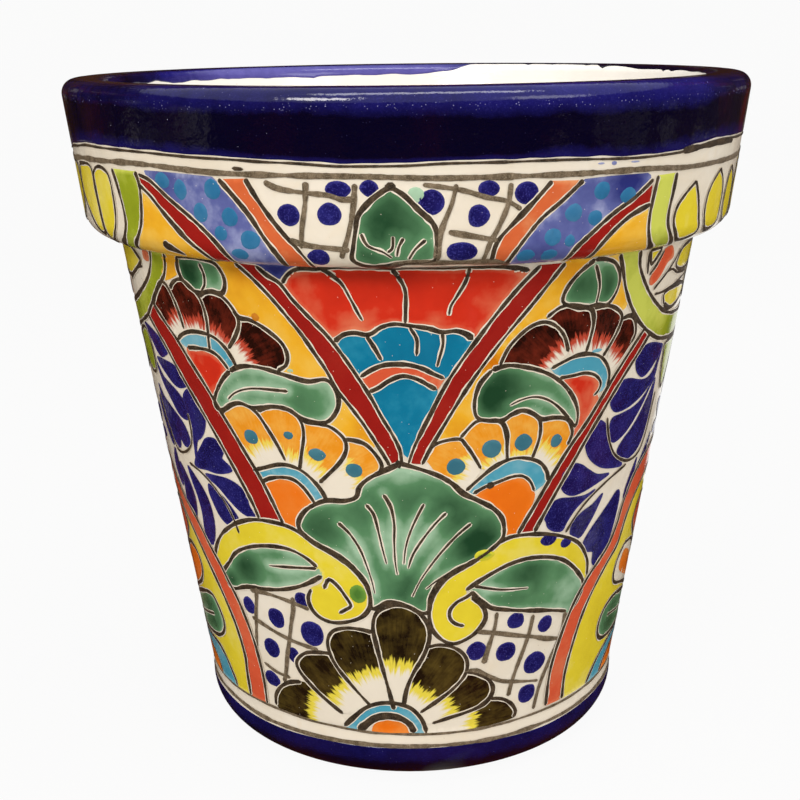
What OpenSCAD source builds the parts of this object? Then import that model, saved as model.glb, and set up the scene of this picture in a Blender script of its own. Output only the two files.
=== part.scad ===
// Cone planter: a tapered earthenware pot with a thick collar, fused glaze coats and raised painted fields.
// Millimetres, +Z up, origin at the middle of the base. The painted front faces -Y.

/* [Body] */
// Overall height
height = 305; // [260:1:380]
// Greatest diameter, just under the lip
rim_d = 305; // [290:1:360]
// Diameter of the foot
foot_d = 200; // [170:1:225]
// Height of the upright foot below the tapered wall
foot_h = 26; // [23:0.5:40]
// Radius of the rounding under the foot
foot_round = 18; // [8:0.5:18]

/* [Collar] */
// Height of the collar
collar_h = 66; // [56:1:90]
// Diameter of the collar just above its rounded lower edge
collar_bottom_d = 293; // [286:1:300]
// How far the collar stands out past the top of the tapered wall
collar_overhang = 14.5; // [13:0.5:24]
// Radius of the collar's lower edge
collar_round = 10; // [5:0.5:11]
// Radius of the hollow under the collar
step_round = 3; // [1.5:0.5:4]
// Radius of the lip on the outside
lip_round = 6; // [4:0.5:11]
// Radius of the lip on the inside
lip_inner_round = 5; // [3:0.5:7]
// Thickness of the rim
rim_wall = 18.5; // [18:0.5:24]

/* [Inside] */
// Thickness of the tapered wall
wall = 12; // [8:0.5:16]
// Thickness of the floor
floor_t = 14; // [10:0.5:22]
// Radius of the hollow between the floor and the wall
floor_round = 14; // [6:0.5:20]
// Diameter of the drain hole
drain_d = 19; // [10:0.5:30]

/* [Glaze] */
// Thickness of the white and cobalt coats
glaze_t = 0.8; // [0.4:0.1:1.2]
// Thickness of the painted fields
enamel_t = 0.4; // [0.2:0.1:0.8]
// Thickness of the dark rings
line_t = 0.3; // [0.2:0.1:0.6]
// Clearance between the white coat and what is painted on it
paint_gap = 0.1; // [0.05:0.05:0.3]
// Height of the bare clay below the foot band
bare_h = 2; // [1.5:0.5:4]
// Height of the top of the cobalt foot band
foot_band_h = 19; // [18.5:0.5:20]
// Distance from the top of the lip down to the edge of the cobalt rim band
rim_band_h = 25; // [20:0.5:28]
// Distance from the top of the lip down to the edge of the cobalt inside the mouth
rim_lap = 8; // [8:0.5:20]
// Bare ring left between the inside glaze and the drain hole
drain_margin = 2; // [1:0.5:5]
// Width of the thin dark rings
thin_line_w = 1.2; // [0.6:0.1:2]
// Width of the bold dark rings
bold_line_w = 2; // [1:0.1:2.5]
// Distance from the cobalt rim band down to the bold ring on the collar
collar_line_gap = 4.4; // [3:0.1:5]

/* [Hidden] */
$fn = 96;
arc_steps = 10;
panel_turns = [0, 180];
side_turns = [90, 270];

rim_r = rim_d / 2;
foot_r = foot_d / 2;
collar_z = height - collar_h;
collar_bottom_r = collar_bottom_d / 2;
wall_top_r = collar_bottom_r - collar_overhang;
rim_inner_r = rim_r - rim_wall;
drain_r = drain_d / 2;

// The tapered wall leans outwards by this angle
wall_lean = atan((wall_top_r - foot_r) / (collar_z - foot_h));
function wall_r(z) = foot_r + (z - foot_h) * tan(wall_lean);

// The collar's face is the straight line that touches its lower edge and the lip
edge_c = [collar_bottom_r - collar_round, collar_z + collar_round];
lip_c = [rim_r - lip_round, height - lip_round];
lip_inner_c = [rim_inner_r + lip_inner_round, height - lip_inner_round];
face_run = lip_c - edge_c;
face_angle = atan2(face_run[1], face_run[0]) - acos((collar_round - lip_round) / norm(face_run));
face_low = edge_c + collar_round * [cos(face_angle), sin(face_angle)];
face_top = lip_c + lip_round * [cos(face_angle), sin(face_angle)];
face_slope = (face_top[0] - face_low[0]) / (face_top[1] - face_low[1]);
function face_r(z) = face_low[0] + (z - face_low[1]) * face_slope;
function edge_r(z) = edge_c[0] + sqrt(collar_round * collar_round - (edge_c[1] - z) * (edge_c[1] - z));
function collar_r(z) = z > face_low[1] ? face_r(z) : edge_r(z);

// The hollow under the collar touches the wall and the collar's flat underside
step_c = [wall_top_r + step_round * (1 - sin(wall_lean)) / cos(wall_lean), collar_z - step_round];

// The inside runs straight from the lip to the level of the collar's lower edge, then along the tapered wall
inner_bend = [wall_top_r - wall / cos(wall_lean), collar_z];
inner_rim = [rim_inner_r, height - lip_inner_round];
collar_lean = atan((inner_rim[0] - inner_bend[0]) / (inner_rim[1] - inner_bend[1]));
function inner_r(z) = inner_bend[0] + (z - inner_bend[1]) * tan(wall_lean);
floor_c_z = floor_t + floor_round;
floor_c = [inner_r(floor_c_z) - floor_round / cos(wall_lean), floor_c_z];
lap_z = height - rim_lap;
lap_r = inner_bend[0] + (lap_z - inner_bend[1]) * tan(collar_lean);

rim_band_z = height - rim_band_h;
bold_ring_z = rim_band_z - collar_line_gap - bold_line_w / 2;

// A profile point is [radius, height, normal radius, normal height], with the normal pointing out of the clay
function turned(c, r, a) = [c[0] + r * cos(a), c[1] + r * sin(a), cos(a), sin(a)];
function outer_arc(c, r, from, to) =
    [for (i = [0:arc_steps]) turned(c, r, from + (to - from) * i / arc_steps)];
function hollow_arc(c, r, from, to) = outer_arc(c, -r, from, to);
function at(r, z, a) = [r, z, cos(a), sin(a)];
function sunk(points, d) = [for (p = points) [p[0] - d * p[2], p[1] - d * p[3]]];
function flipped(points) = [for (i = [len(points) - 1:-1:0]) points[i]];
function coat(points, inner, outer) = concat(sunk(points, -outer), flipped(sunk(points, -inner)));

bare_angle = -asin((foot_round - bare_h) / foot_round);
foot_profile = concat(
    outer_arc([foot_r - foot_round, foot_round], foot_round, bare_angle, 0),
    [at(foot_r, foot_band_h, 0)]);
collar_profile = concat(
    outer_arc(edge_c, collar_round, -90, face_angle),
    [at(face_r(rim_band_z), rim_band_z, face_angle)]);
outside_profile = concat(
    [at(foot_r, foot_band_h, 0), at(foot_r, foot_h, -wall_lean / 2)],
    hollow_arc(step_c, step_round, -wall_lean, -90),
    collar_profile);
rim_profile = concat(
    [at(face_r(rim_band_z), rim_band_z, face_angle)],
    outer_arc(lip_c, lip_round, face_angle, 90),
    outer_arc(lip_inner_c, lip_inner_round, 90, 180 - collar_lean),
    [at(lap_r, lap_z, 180 - collar_lean)]);
inside_profile = concat(
    [at(lap_r, lap_z, 180 - collar_lean),
     at(inner_bend[0], inner_bend[1], 180 - (collar_lean + wall_lean) / 2)],
    hollow_arc(floor_c, floor_round, 180 - wall_lean, 90),
    [at(drain_r + drain_margin, floor_t, 90)]);

// Painting: points are [degrees from the middle of the panel, percent of the height that the panel has]
field_steps = 12;
panel_top = collar_z - step_round;
function panel_z(t) = foot_h + (panel_top - foot_h) * t / 100;
function collar_field_z(s) = collar_z + (bold_ring_z - bold_line_w / 2 - collar_z) * s / 100;
function cut_corner(a, b) = [0.75 * a + 0.25 * b, 0.25 * a + 0.75 * b];
function smooth(p) = [for (i = [0:len(p) - 1]) each cut_corner(p[i], p[(i + 1) % len(p)])];
function mirrored(p) = concat(p, [for (q = flipped(p)) if (q[0] != 0) [-q[0], q[1]]]);
function arch(outer, inner) = concat(mirrored(outer), flipped(mirrored(inner)));
function oval(a, t, w, h, tilt = 0) =
    [for (i = [0:field_steps - 1])
        let (turn = i * 360 / field_steps, x = w * cos(turn), y = h * sin(turn))
        [a + x * cos(tilt) - y * sin(tilt), t + x * sin(tilt) + y * cos(tilt)]];
function middle_of(p) = (min([for (q = p) q[0]]) + max([for (q = p) q[0]])) / 2;

// Colours of the clay, the coats and the painted fields
clay_colour = "#b5683f";
white = "#efe6d6";
cobalt = "#12116a";
line_colour = "#4a4034";
red = "#c8281a";
dark_red = "#9e1b16";
coral = "#d9603f";
yellow = "#f3ae1c";
lemon = "#e8d529";
lime = "#a9c034";
green = "#2f7d55";
turquoise = "#1583a8";
orange = "#f57a1b";
maroon = "#3a1410";
dark_brown = "#2b1a0c";
violet = "#7a77b8";

// A coat between two depths of a profile, turned all the way round
module coat_ring(points, inner, outer) {
    rotate_extrude() polygon(coat(points, inner, outer));
}

module white_coat(points) {
    color(white) coat_ring(points, -glaze_t, 0);
}

module cobalt_coat(points) {
    color(cobalt) coat_ring(points, -glaze_t, 0);
}

module painted_ring(points) {
    color(line_colour) coat_ring(points, paint_gap, paint_gap + line_t);
}

// The painting has one panel at the front and the same at the back, and a narrower one at each side
module front_and_back() {
    for (turn = panel_turns) rotate(turn) children();
}

module at_both_sides() {
    for (turn = side_turns) rotate(turn) children();
}

module left_and_right() {
    children();
    mirror([1, 0, 0]) children();
}

// A prism through a painted field, along the radius in the middle of the field
module field_prism(outline, middle) {
    rotate([90, 0, middle]) linear_extrude(rim_d) polygon(outline);
}

module wall_field(points) {
    middle = middle_of(points);
    intersection() {
        rotate_extrude() polygon([
            [wall_r(foot_h) + paint_gap, foot_h],
            [wall_r(foot_h) + paint_gap + enamel_t, foot_h],
            [wall_r(panel_top) + paint_gap + enamel_t, panel_top],
            [wall_r(panel_top) + paint_gap, panel_top]]);
        field_prism(
            [for (p = points) let (z = panel_z(p[1])) [wall_r(z) * sin(p[0] - middle), z]],
            middle);
    }
}

module collar_field(points) {
    middle = middle_of(points);
    intersection() {
        coat_ring(collar_profile, paint_gap, paint_gap + enamel_t);
        field_prism(
            [for (p = points) let (z = collar_field_z(p[1])) [collar_r(z) * sin(p[0] - middle), z]],
            middle);
    }
}

module clay_body() {
    foot_start = sunk(foot_profile, glaze_t)[0];
    color(clay_colour) rotate_extrude() polygon(concat(
        [[drain_r, 0], [foot_start[0] - foot_start[1], 0]],
        sunk(foot_profile, glaze_t),
        sunk(outside_profile, glaze_t),
        sunk(rim_profile, glaze_t),
        sunk(inside_profile, glaze_t),
        [[drain_r, floor_t - glaze_t]]));
}

module inside_glaze() {
    white_coat(inside_profile);
}

module outside_glaze() {
    white_coat(outside_profile);
}

module rim_band() {
    cobalt_coat(rim_profile);
}

module foot_band() {
    cobalt_coat(foot_profile);
}

// Dark rings on the collar: a thin one under the cobalt, a bold one over the painting
module collar_lines() {
    for (line = [
        [rim_band_z - thin_line_w, rim_band_z],
        [bold_ring_z - bold_line_w / 2, bold_ring_z + bold_line_w / 2]])
        painted_ring([for (z = line) at(face_r(z), z, face_angle)]);
}

// Dark rings on the foot: a thin one over the cobalt, and one under the painting
module foot_lines() {
    for (line = [[foot_band_h, foot_band_h + thin_line_w], [foot_h - thin_line_w, foot_h]])
        painted_ring([for (z = line) at(foot_r, z, 0)]);
}

module red_fan() {
    color(red) front_and_back()
        wall_field(smooth(mirrored([[21, 98.2], [14.5, 88], [9, 89.7], [6, 89.2], [0, 91]])));
}

module fan_scallops() {
    color(turquoise) front_and_back()
        wall_field(smooth(mirrored([[0, 89.5], [5, 88.5], [7, 87.2], [10, 87.6], [12.4, 85.5], [9, 80.9],
            [4, 82.7]])));
}

module fan_arc() {
    color(coral) front_and_back()
        wall_field(smooth(arch([[8, 79.5], [4, 81.6], [0, 82]], [[6.5, 78.3], [3, 80], [0, 80.5]])));
}

module fan_tip() {
    color(turquoise) front_and_back()
        wall_field(smooth(mirrored([[0, 79.4], [3, 78.8], [6.4, 76.6], [1, 66.4], [0, 64.6]])));
}

module fan_stripes() {
    color(dark_red) front_and_back() left_and_right()
        wall_field(smooth([[22.8, 98.8], [25.8, 98.8], [14.2, 82.8], [3.4, 64.3], [1.6, 64.3],
            [11.6, 82.8]]));
}

module yellow_panels() {
    color(yellow) front_and_back() left_and_right() {
        wall_field(smooth([[27.3, 98.6], [33, 98.6], [32.5, 95.2], [28, 90.7], [24.5, 86.6], [23.6, 82.1],
            [21, 80],
            [17, 80], [15.6, 81.6]]));
        wall_field(smooth([[11.8, 77], [11.9, 74], [12.4, 71.5], [13, 69.5], [10, 68.1], [6.7, 67.5]]));
    }
}

module small_leaves() {
    color(green) front_and_back() left_and_right()
        wall_field(smooth([[34.5, 97.8], [38.5, 98.8], [43, 98.1], [44, 96.2], [42.5, 94.2], [38.5, 93.6],
            [35.5, 95.3]]));
}

module maroon_petals() {
    color(maroon) front_and_back() left_and_right()
        for (p = [[28.5, 85.4, 4.4, 2.9, 35], [35.5, 89.8, 3.3, 3.2, 0], [44.5, 90, 3.3, 3.2, 0],
            [51.6, 89, 2.9, 3.2, 20]])
            wall_field(oval(p[0], p[1], p[2], p[3], p[4]));
}

module upper_arcs() {
    color(turquoise) front_and_back() left_and_right()
        wall_field(smooth([[35.5, 81], [38, 83.7], [42, 84.8], [46, 84], [48, 82.5], [46.5, 81.5],
            [43.5, 83], [40.5, 82.9],
            [38, 81.5], [37, 80.4]]));
}

module red_discs() {
    color(red) front_and_back() left_and_right()
        wall_field(smooth([[38, 79.9], [40.5, 81.4], [44, 81], [46, 79], [44, 76], [42, 74], [40, 76]]));
}

module long_leaves() {
    color(green) front_and_back() left_and_right()
        wall_field(smooth([[13.6, 77], [15, 78.4], [20, 78.8], [28, 80], [34, 79.2], [38, 76.2],
            [40, 72.2], [36, 72.2],
            [28, 72], [20, 71], [15.5, 71.4], [13.4, 74]]));
}

module orange_petals() {
    color(orange) front_and_back() left_and_right()
        for (p = [[34, 67.6, 3.3, 3.6, 0], [24.5, 67.1, 3.1, 3.4, 0], [16.5, 65.7, 3.2, 3.8, 0],
            [9.3, 62.8, 2.5, 3.6, 20]])
            wall_field(oval(p[0], p[1], p[2], p[3], p[4]));
}

module lower_arcs() {
    color(turquoise) front_and_back() left_and_right()
        wall_field(smooth([[17.5, 54.3], [20, 57.8], [24.5, 59.6], [29, 59], [32, 57.2], [31, 56],
            [28, 57.4], [24.5, 57.8],
            [21.5, 56], [19.4, 53.3]]));
}

module orange_discs() {
    color(orange) front_and_back() left_and_right()
        wall_field(smooth([[20, 50.2], [22, 54.7], [25.5, 56.6], [29, 55.2], [30.5, 53.2], [28, 49.2],
            [25, 47.7]]));
}

module outer_stripes() {
    color(dark_red) front_and_back() left_and_right()
        wall_field(smooth([[54.5, 85.3], [58, 85.7], [58.6, 83.7], [47, 68.4], [34.5, 48], [30.8, 48],
            [43, 68.4]]));
}

module shell_leaf() {
    color(green) front_and_back()
        wall_field(smooth(mirrored([[0, 61.1], [5, 60], [9, 56.2], [16, 52.7], [21, 47.7], [18, 43.6],
            [12, 40.5], [9, 37],
            [7.5, 34.3], [6.5, 31], [0, 31.6]])));
}

module scrolls() {
    color(lemon) front_and_back() left_and_right()
        wall_field(smooth([[50, 36], [42, 42.6], [34, 45.2], [27, 45.8], [21.5, 44], [15, 40.1],
            [11, 35.8], [9.8, 32],
            [11.5, 28.2], [17, 26.4], [22, 28.6], [23.3, 32], [21, 34.7], [18, 35.3], [17.5, 36.7],
            [21, 39.1],
            [26, 41.1], [35, 41], [43, 37.9], [49, 34.5]]));
}

module scroll_leaves() {
    color(green) front_and_back() left_and_right()
        wall_field(smooth([[22.5, 36.5], [25, 39.1], [28, 39.7], [33, 39.3], [39, 36.5], [44.5, 32],
            [47.5, 29], [45, 28.6],
            [40, 30.2], [33, 32], [27, 33.7]]));
}

// Seven dark petals fanned over the foot, the middle one upright
module dark_petals() {
    color(dark_brown) front_and_back() {
        wall_field(oval(0, 24.2, 4.2, 6.2));
        left_and_right()
            for (p = [[9.8, 18, 3.6, 5.6, -35], [17.6, 11.5, 3, 5, -55], [22.5, 4.8, 2.3, 4.6, -75]])
                wall_field(oval(p[0], p[1], p[2], p[3], p[4]));
    }
}

module foot_arc() {
    color(turquoise) front_and_back()
        wall_field(smooth(arch([[9, 1.2], [7.2, 4.4], [4, 7], [0, 7.9]], [[7.2, 1.2], [5.7, 4],
            [3.2, 5.9], [0, 6.5]])));
}

module foot_disc() {
    color(orange) front_and_back()
        wall_field(smooth(mirrored([[4.5, 1.2], [4, 3.4], [2, 4.7], [0, 5]])));
}

module lattice_dots() {
    color(cobalt) front_and_back() left_and_right()
        for (p = [[33, 24.7], [24, 22.6], [36.3, 16.4], [29.5, 16.4], [37.6, 8.6], [41.5, 25.3]])
            wall_field(oval(p[0], p[1], 1.5, 1.5));
}

module feathers() {
    color(cobalt) front_and_back() left_and_right()
        for (p = [[60.5, 80.2, 4.4, 2.2, 18], [56, 75, 4.6, 2, 8], [58.5, 69.5, 4.4, 2.2, 35],
            [50.3, 67.4, 2.2, 4.4, -5],
            [60, 61.4, 3.2, 4.2, -30], [46.5, 58.8, 3.4, 2.5, 25], [41.5, 51.4, 4.2, 2.1, 35],
            [46.5, 47.6, 4.2, 1.7, 52],
            [53, 43.8, 2.4, 5.8, -8], [60, 48.7, 2.2, 4, -10]])
            wall_field(oval(p[0], p[1], p[2], p[3], p[4]));
}

// Arches at the sides: a coral ring and a yellow band over two leaves, two petals and a half flower
module arch_rings() {
    color(coral) at_both_sides()
        wall_field(smooth(arch(
            [[49, 1.5], [48.5, 11.5], [46.5, 21], [43, 28], [38.5, 35.2], [33, 40], [26, 44.6],
            [14, 49.2], [0, 50.7]],
            [[42.7, 1.5], [43, 11.5], [40.5, 21], [36, 28], [29.5, 35.2], [22, 40.1], [13, 44], [0, 45.6]])));
}

module arch_bands() {
    color(yellow) at_both_sides()
        wall_field(smooth(arch(
            [[41.2, 1.5], [41.5, 11.2], [39.1, 20.5], [34.5, 27.4], [28, 34.3], [20.8, 39], [12.5, 42.8],
            [0, 44.4]],
            [[36, 1.5], [35.5, 18.2], [30.5, 27.4], [22, 34], [11, 37.5], [0, 38.7]])));
}

module arch_leaves() {
    color(green) at_both_sides() left_and_right() wall_field(oval(20, 17.2, 13, 5));
}

module arch_petals() {
    color(orange) at_both_sides() left_and_right() wall_field(oval(14, 28.9, 9, 3.2));
}

module arch_arcs() {
    color(turquoise) at_both_sides()
        wall_field(smooth(arch(
            [[30, 1.5], [26, 6.6], [15, 9.7], [0, 10.7]],
            [[24, 1.5], [20, 5], [11, 7.5], [0, 8.1]])));
}

module arch_discs() {
    color(orange) at_both_sides()
        wall_field(smooth(mirrored([[21, 1.5], [17, 4.4], [9, 6.2], [0, 6.8]])));
}

// Roundels at the sides: a lime ring that hangs under the collar, with a petal in it
module roundel_rings() {
    color(lime) at_both_sides()
        wall_field(smooth(arch(
            [[41.5, 99.3], [40.5, 97.3], [38.5, 95.3], [35, 91.2], [31.5, 88.2], [26.5, 85.8], [20, 84.1],
            [0, 81.6]],
            [[36.8, 99.3], [34.5, 96.3], [31, 93.2], [26.5, 90.5], [20, 88.7], [0, 86.1]])));
}

module roundel_petals() {
    color(lemon) at_both_sides()
        wall_field(smooth(mirrored([[26, 98.8], [24, 95.3], [14, 92.4], [0, 91.7]])));
}

module lime_strips() {
    color(lime) front_and_back() left_and_right()
        collar_field(smooth([[45, 95], [50, 95], [49.3, 55], [48.2, 25], [45.8, 25], [44.6, 55]]));
}

module collar_petals() {
    color(lemon) front_and_back() left_and_right() {
        collar_field(smooth([[53.2, 80], [54.5, 93], [58.2, 88], [58.5, 60], [57.8, 30], [54.5, 30],
            [53.2, 55]]));
        collar_field(smooth([[60.3, 95], [65, 92], [66.5, 60], [63.5, 30], [60.2, 30], [60.2, 60]]));
    }
}

module collar_panels() {
    color(yellow) front_and_back() left_and_right()
        collar_field(smooth([[43.6, 70], [43.4, 50], [44.2, 25], [44.6, 13], [34.6, 13], [38.9, 40]]));
}

module collar_stripes() {
    color(dark_red) front_and_back() left_and_right()
        collar_field(smooth([[42, 84], [40, 86], [33.5, 47], [29.6, 13], [32.4, 13], [37, 47]]));
}

module violet_panels() {
    color(violet) front_and_back() left_and_right()
        collar_field(smooth([[40.3, 95], [29.3, 95], [25.4, 50], [21.6, 13], [27, 13], [31.4, 47]]));
}

module coral_stripes() {
    color(coral) front_and_back() left_and_right()
        collar_field(smooth([[23.7, 95], [26.2, 95], [22.4, 50], [18.8, 13], [15.9, 13], [18.9, 50]]));
}

module collar_leaf() {
    color(green) front_and_back() collar_field(smooth(mirrored([[0, 84], [4, 62], [5, 35], [4.5, 13]])));
}

module collar_dots() {
    color(cobalt) front_and_back() left_and_right()
        for (p = [[17, 62], [11, 63], [12.6, 26], [9.8, 84],
            [5.6, 86]]) collar_field(oval(p[0], p[1], 1.5, 11));
}

clay_body();
inside_glaze();
outside_glaze();
rim_band();
foot_band();
collar_lines();
foot_lines();
red_fan();
fan_scallops();
fan_arc();
fan_tip();
fan_stripes();
yellow_panels();
small_leaves();
maroon_petals();
red_discs();
upper_arcs();
long_leaves();
orange_petals();
orange_discs();
lower_arcs();
outer_stripes();
shell_leaf();
scrolls();
scroll_leaves();
dark_petals();
foot_arc();
foot_disc();
lattice_dots();
feathers();
arch_rings();
arch_bands();
arch_leaves();
arch_petals();
arch_arcs();
arch_discs();
roundel_rings();
roundel_petals();
lime_strips();
collar_petals();
collar_panels();
collar_stripes();
violet_panels();
coral_stripes();
collar_leaf();
collar_dots();
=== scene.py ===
import math

import bmesh
import bpy
from mathutils import Matrix, Vector, kdtree, noise


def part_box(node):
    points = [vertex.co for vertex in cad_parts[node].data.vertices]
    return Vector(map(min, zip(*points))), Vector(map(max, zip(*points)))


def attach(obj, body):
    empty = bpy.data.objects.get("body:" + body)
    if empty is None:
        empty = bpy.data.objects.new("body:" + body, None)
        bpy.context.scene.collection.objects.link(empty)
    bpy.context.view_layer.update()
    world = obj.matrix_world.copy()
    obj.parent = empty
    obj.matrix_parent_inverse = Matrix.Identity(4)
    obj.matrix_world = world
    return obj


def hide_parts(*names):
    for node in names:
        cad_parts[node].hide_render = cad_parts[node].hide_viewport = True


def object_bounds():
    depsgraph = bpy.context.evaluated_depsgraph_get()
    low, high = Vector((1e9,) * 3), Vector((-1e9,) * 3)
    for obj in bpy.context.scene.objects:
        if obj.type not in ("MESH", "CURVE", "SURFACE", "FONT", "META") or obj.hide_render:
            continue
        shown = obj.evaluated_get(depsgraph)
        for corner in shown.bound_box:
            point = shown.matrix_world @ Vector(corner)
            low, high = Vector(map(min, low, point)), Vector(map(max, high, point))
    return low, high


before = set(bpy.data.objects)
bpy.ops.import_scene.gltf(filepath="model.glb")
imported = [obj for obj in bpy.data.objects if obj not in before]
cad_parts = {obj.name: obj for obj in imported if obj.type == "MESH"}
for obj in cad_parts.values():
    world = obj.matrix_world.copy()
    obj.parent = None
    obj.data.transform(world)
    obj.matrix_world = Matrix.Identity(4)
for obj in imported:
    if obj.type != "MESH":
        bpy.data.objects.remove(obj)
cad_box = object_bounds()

# Clay body: a thrown and turned pot of red earthenware, fired once before it is glazed.
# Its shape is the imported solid. Bare clay shows only under the foot and in the drain hole.


def hex_colour(text):
    """A colour written as in a paint list, as the linear value that a shader takes."""
    parts = [int(text[i:i + 2], 16) / 255 for i in (1, 3, 5)]
    return [c / 12.92 if c <= 0.04045 else ((c + 0.055) / 1.055) ** 2.4 for c in parts] + [1.0]


class Tone:
    """One value in a finish. Sums and products of tones add the nodes that work them out."""

    def __init__(self, tree, socket):
        self.tree = tree
        self.socket = socket

    def worked(self, operation, *values):
        node = self.tree.nodes.new("ShaderNodeMath")
        node.operation = operation
        for slot, value in zip(node.inputs, values):
            if isinstance(value, Tone):
                self.tree.links.new(value.socket, slot)
            else:
                slot.default_value = value
        return Tone(self.tree, node.outputs[0])

    def __add__(self, other):
        return self.worked("ADD", self, other)

    def __radd__(self, other):
        return self.worked("ADD", other, self)

    def __sub__(self, other):
        return self.worked("SUBTRACT", self, other)

    def __rsub__(self, other):
        return self.worked("SUBTRACT", other, self)

    def __mul__(self, other):
        return self.worked("MULTIPLY", self, other)

    def __rmul__(self, other):
        return self.worked("MULTIPLY", other, self)

    def __truediv__(self, other):
        return self.worked("DIVIDE", self, other)

    def within(self, low, high):
        """0 below low, 1 above high, and an even climb between them."""
        share = (self - low) / (high - low)
        share.socket.node.use_clamp = True
        return share

    def most(self, other):
        return self.worked("MAXIMUM", self, other)


class Finish:
    """A fired surface, built from nodes and given to a piece as its material."""

    def __init__(self, name):
        self.material = bpy.data.materials.new(name)
        self.material.use_nodes = True
        self.tree = self.material.node_tree
        self.tree.nodes.clear()

    def node(self, kind, settings, sockets, output=None):
        """Adds a node, sets it up, fills its sockets and returns one of its outputs."""
        node = self.tree.nodes.new("ShaderNode" + kind)
        for key, value in settings.items():
            setattr(node, key, value)
        for key, value in sockets.items():
            slot = next(s for s in node.inputs if s.name == key and s.enabled)
            if isinstance(value, Tone):
                self.tree.links.new(value.socket, slot)
            else:
                slot.default_value = value
        named = [s for s in node.outputs if s.enabled and s.name == output]
        return Tone(self.tree, named[0]) if named else None

    def place(self):
        return self.node("TexCoord", {}, {}, "Object")

    def clouds(self, scale, detail=3.0, vector=None, roughness=0.55):
        where = vector or self.place()
        sockets = {"Vector": where, "Scale": scale, "Detail": detail, "Roughness": roughness}
        return self.node("TexNoise", {}, sockets, "Fac")

    def specks(self, scale, size, share):
        """1 in scattered dots of the given size, in about that share of the cells."""
        cells = {"Vector": self.place(), "Scale": scale}
        near = self.node("TexVoronoi", {"feature": "F1"}, cells, "Distance")
        pick = self.node("TexWhiteNoise", {"noise_dimensions": "3D"}, {
            "Vector": self.node("TexVoronoi", {"feature": "F1"}, cells, "Position")}, "Value")
        return (size - near).within(0, size * 0.5) * (share - pick).within(0, 0.01)

    def attribute(self, name):
        return self.node("Attribute", {"attribute_name": name}, {}, "Fac")

    def mix(self, share, *pair):
        """A blend of two colours, each one a tone or written as in a paint list."""
        first, second = (hex_colour(c) if isinstance(c, str) else c for c in pair)
        return self.node("Mix", {"data_type": "RGBA"}, {"Factor": share, "A": first, "B": second}, "Result")

    def surface(self, colour, roughness, height, depth, shine=0.5):
        """Closes the finish: colour and roughness vary, height is the relief in metres times depth."""
        bump = self.node("Bump", {}, {"Height": height, "Strength": 1.0, "Distance": depth}, "Normal")
        sockets = {
            "Base Color": colour, "Roughness": roughness, "Normal": bump, "Specular IOR Level": shine}
        shader = self.node("BsdfPrincipled", {}, sockets, "BSDF")
        self.node("OutputMaterial", {}, {"Surface": shader})
        return self.material


def bare_clay():
    """Rough red earthenware with dark grit."""
    f = Finish("bare_clay")
    cloud = f.clouds(45, 4)
    grit = f.clouds(900, 4)
    colour = f.mix(cloud.within(0.35, 0.7), "#a8623f", "#c07f58")
    colour = f.mix(f.specks(500, 0.22, 0.18), colour, "#6e3a22")
    return f.surface(colour, 0.78 + 0.15 * grit, grit + 2 * cloud, 0.0004)


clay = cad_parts["clay_body"]
clay.data.materials.clear()
clay.data.materials.append(bare_clay())

# Inside glaze: white tin glaze poured into the pot and swilled round before the outside is done.
# It follows the clay from the cobalt lap below the lip to a bare ring about the drain hole.
mm = 0.001
rim_r = cad_box[1].x / mm
height = cad_box[1].z / mm
foot_r = 100
foot_h = 26
foot_round = 18
collar_z = 239
collar_bottom_r = 146.5
collar_overhang = 14.5
collar_round = 10
step_round = 3
lip_round = 6
lip_inner_round = 5
rim_wall = 18.5
wall = 12
floor_t = 14
floor_round = 14
bare_drain_r = 11.5
drain_edge_drop = 0.7
wall_top_r = collar_bottom_r - collar_overhang
lean = math.atan((wall_top_r - foot_r) / (collar_z - foot_h))
inner_bend = (wall_top_r - wall / math.cos(lean), collar_z)
inner_rim = (rim_r - rim_wall, height - lip_inner_round)
collar_lean = math.atan((inner_rim[0] - inner_bend[0]) / (inner_rim[1] - inner_bend[1]))
round_steps = 12
turn_steps = 360


def arc(centre, radius, start, end):
    """Points on an arc in the profile plane, angles in degrees from the level outwards."""
    angles = [math.radians(start + (end - start) * i / round_steps) for i in range(round_steps + 1)]
    return [(centre[0] + radius * math.cos(a), centre[1] + radius * math.sin(a)) for a in angles]


def inner_radius(z):
    """Radius of the clay inside the pot at a height."""
    if z > collar_z:
        return inner_bend[0] + (z - collar_z) * math.tan(collar_lean)
    return inner_bend[0] + (z - collar_z) * math.tan(lean)


def turned(profile):
    """A surface of revolution from a profile of (radius, height) in millimetres."""
    bm = bmesh.new()
    ring = [bm.verts.new((0, -r * mm, z * mm)) for r, z in profile]
    for first, second in zip(ring, ring[1:]):
        bm.edges.new((first, second))
    bmesh.ops.spin(bm, geom=bm.verts[:] + bm.edges[:], axis=(0, 0, 1), cent=(0, 0, 0),
                   angle=2 * math.pi, steps=turn_steps, use_merge=True)
    bmesh.ops.remove_doubles(bm, verts=bm.verts[:], dist=1e-7)
    return bm


def made(name, bm, *materials, smooth=True):
    """The object of a bmesh."""
    mesh = bpy.data.meshes.new(name)
    bm.to_mesh(mesh)
    bm.free()
    mesh.polygons.foreach_set("use_smooth", [smooth] * len(mesh.polygons))
    for material in materials:
        mesh.materials.append(material)
    thing = bpy.data.objects.new(name, mesh)
    bpy.context.scene.collection.objects.link(thing)
    return thing


def finished(name, bm, *materials):
    """The smooth shaded object of a bmesh, riding on the pot."""
    piece = made(name, bm, *materials)
    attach(piece, "root")
    return piece


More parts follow.
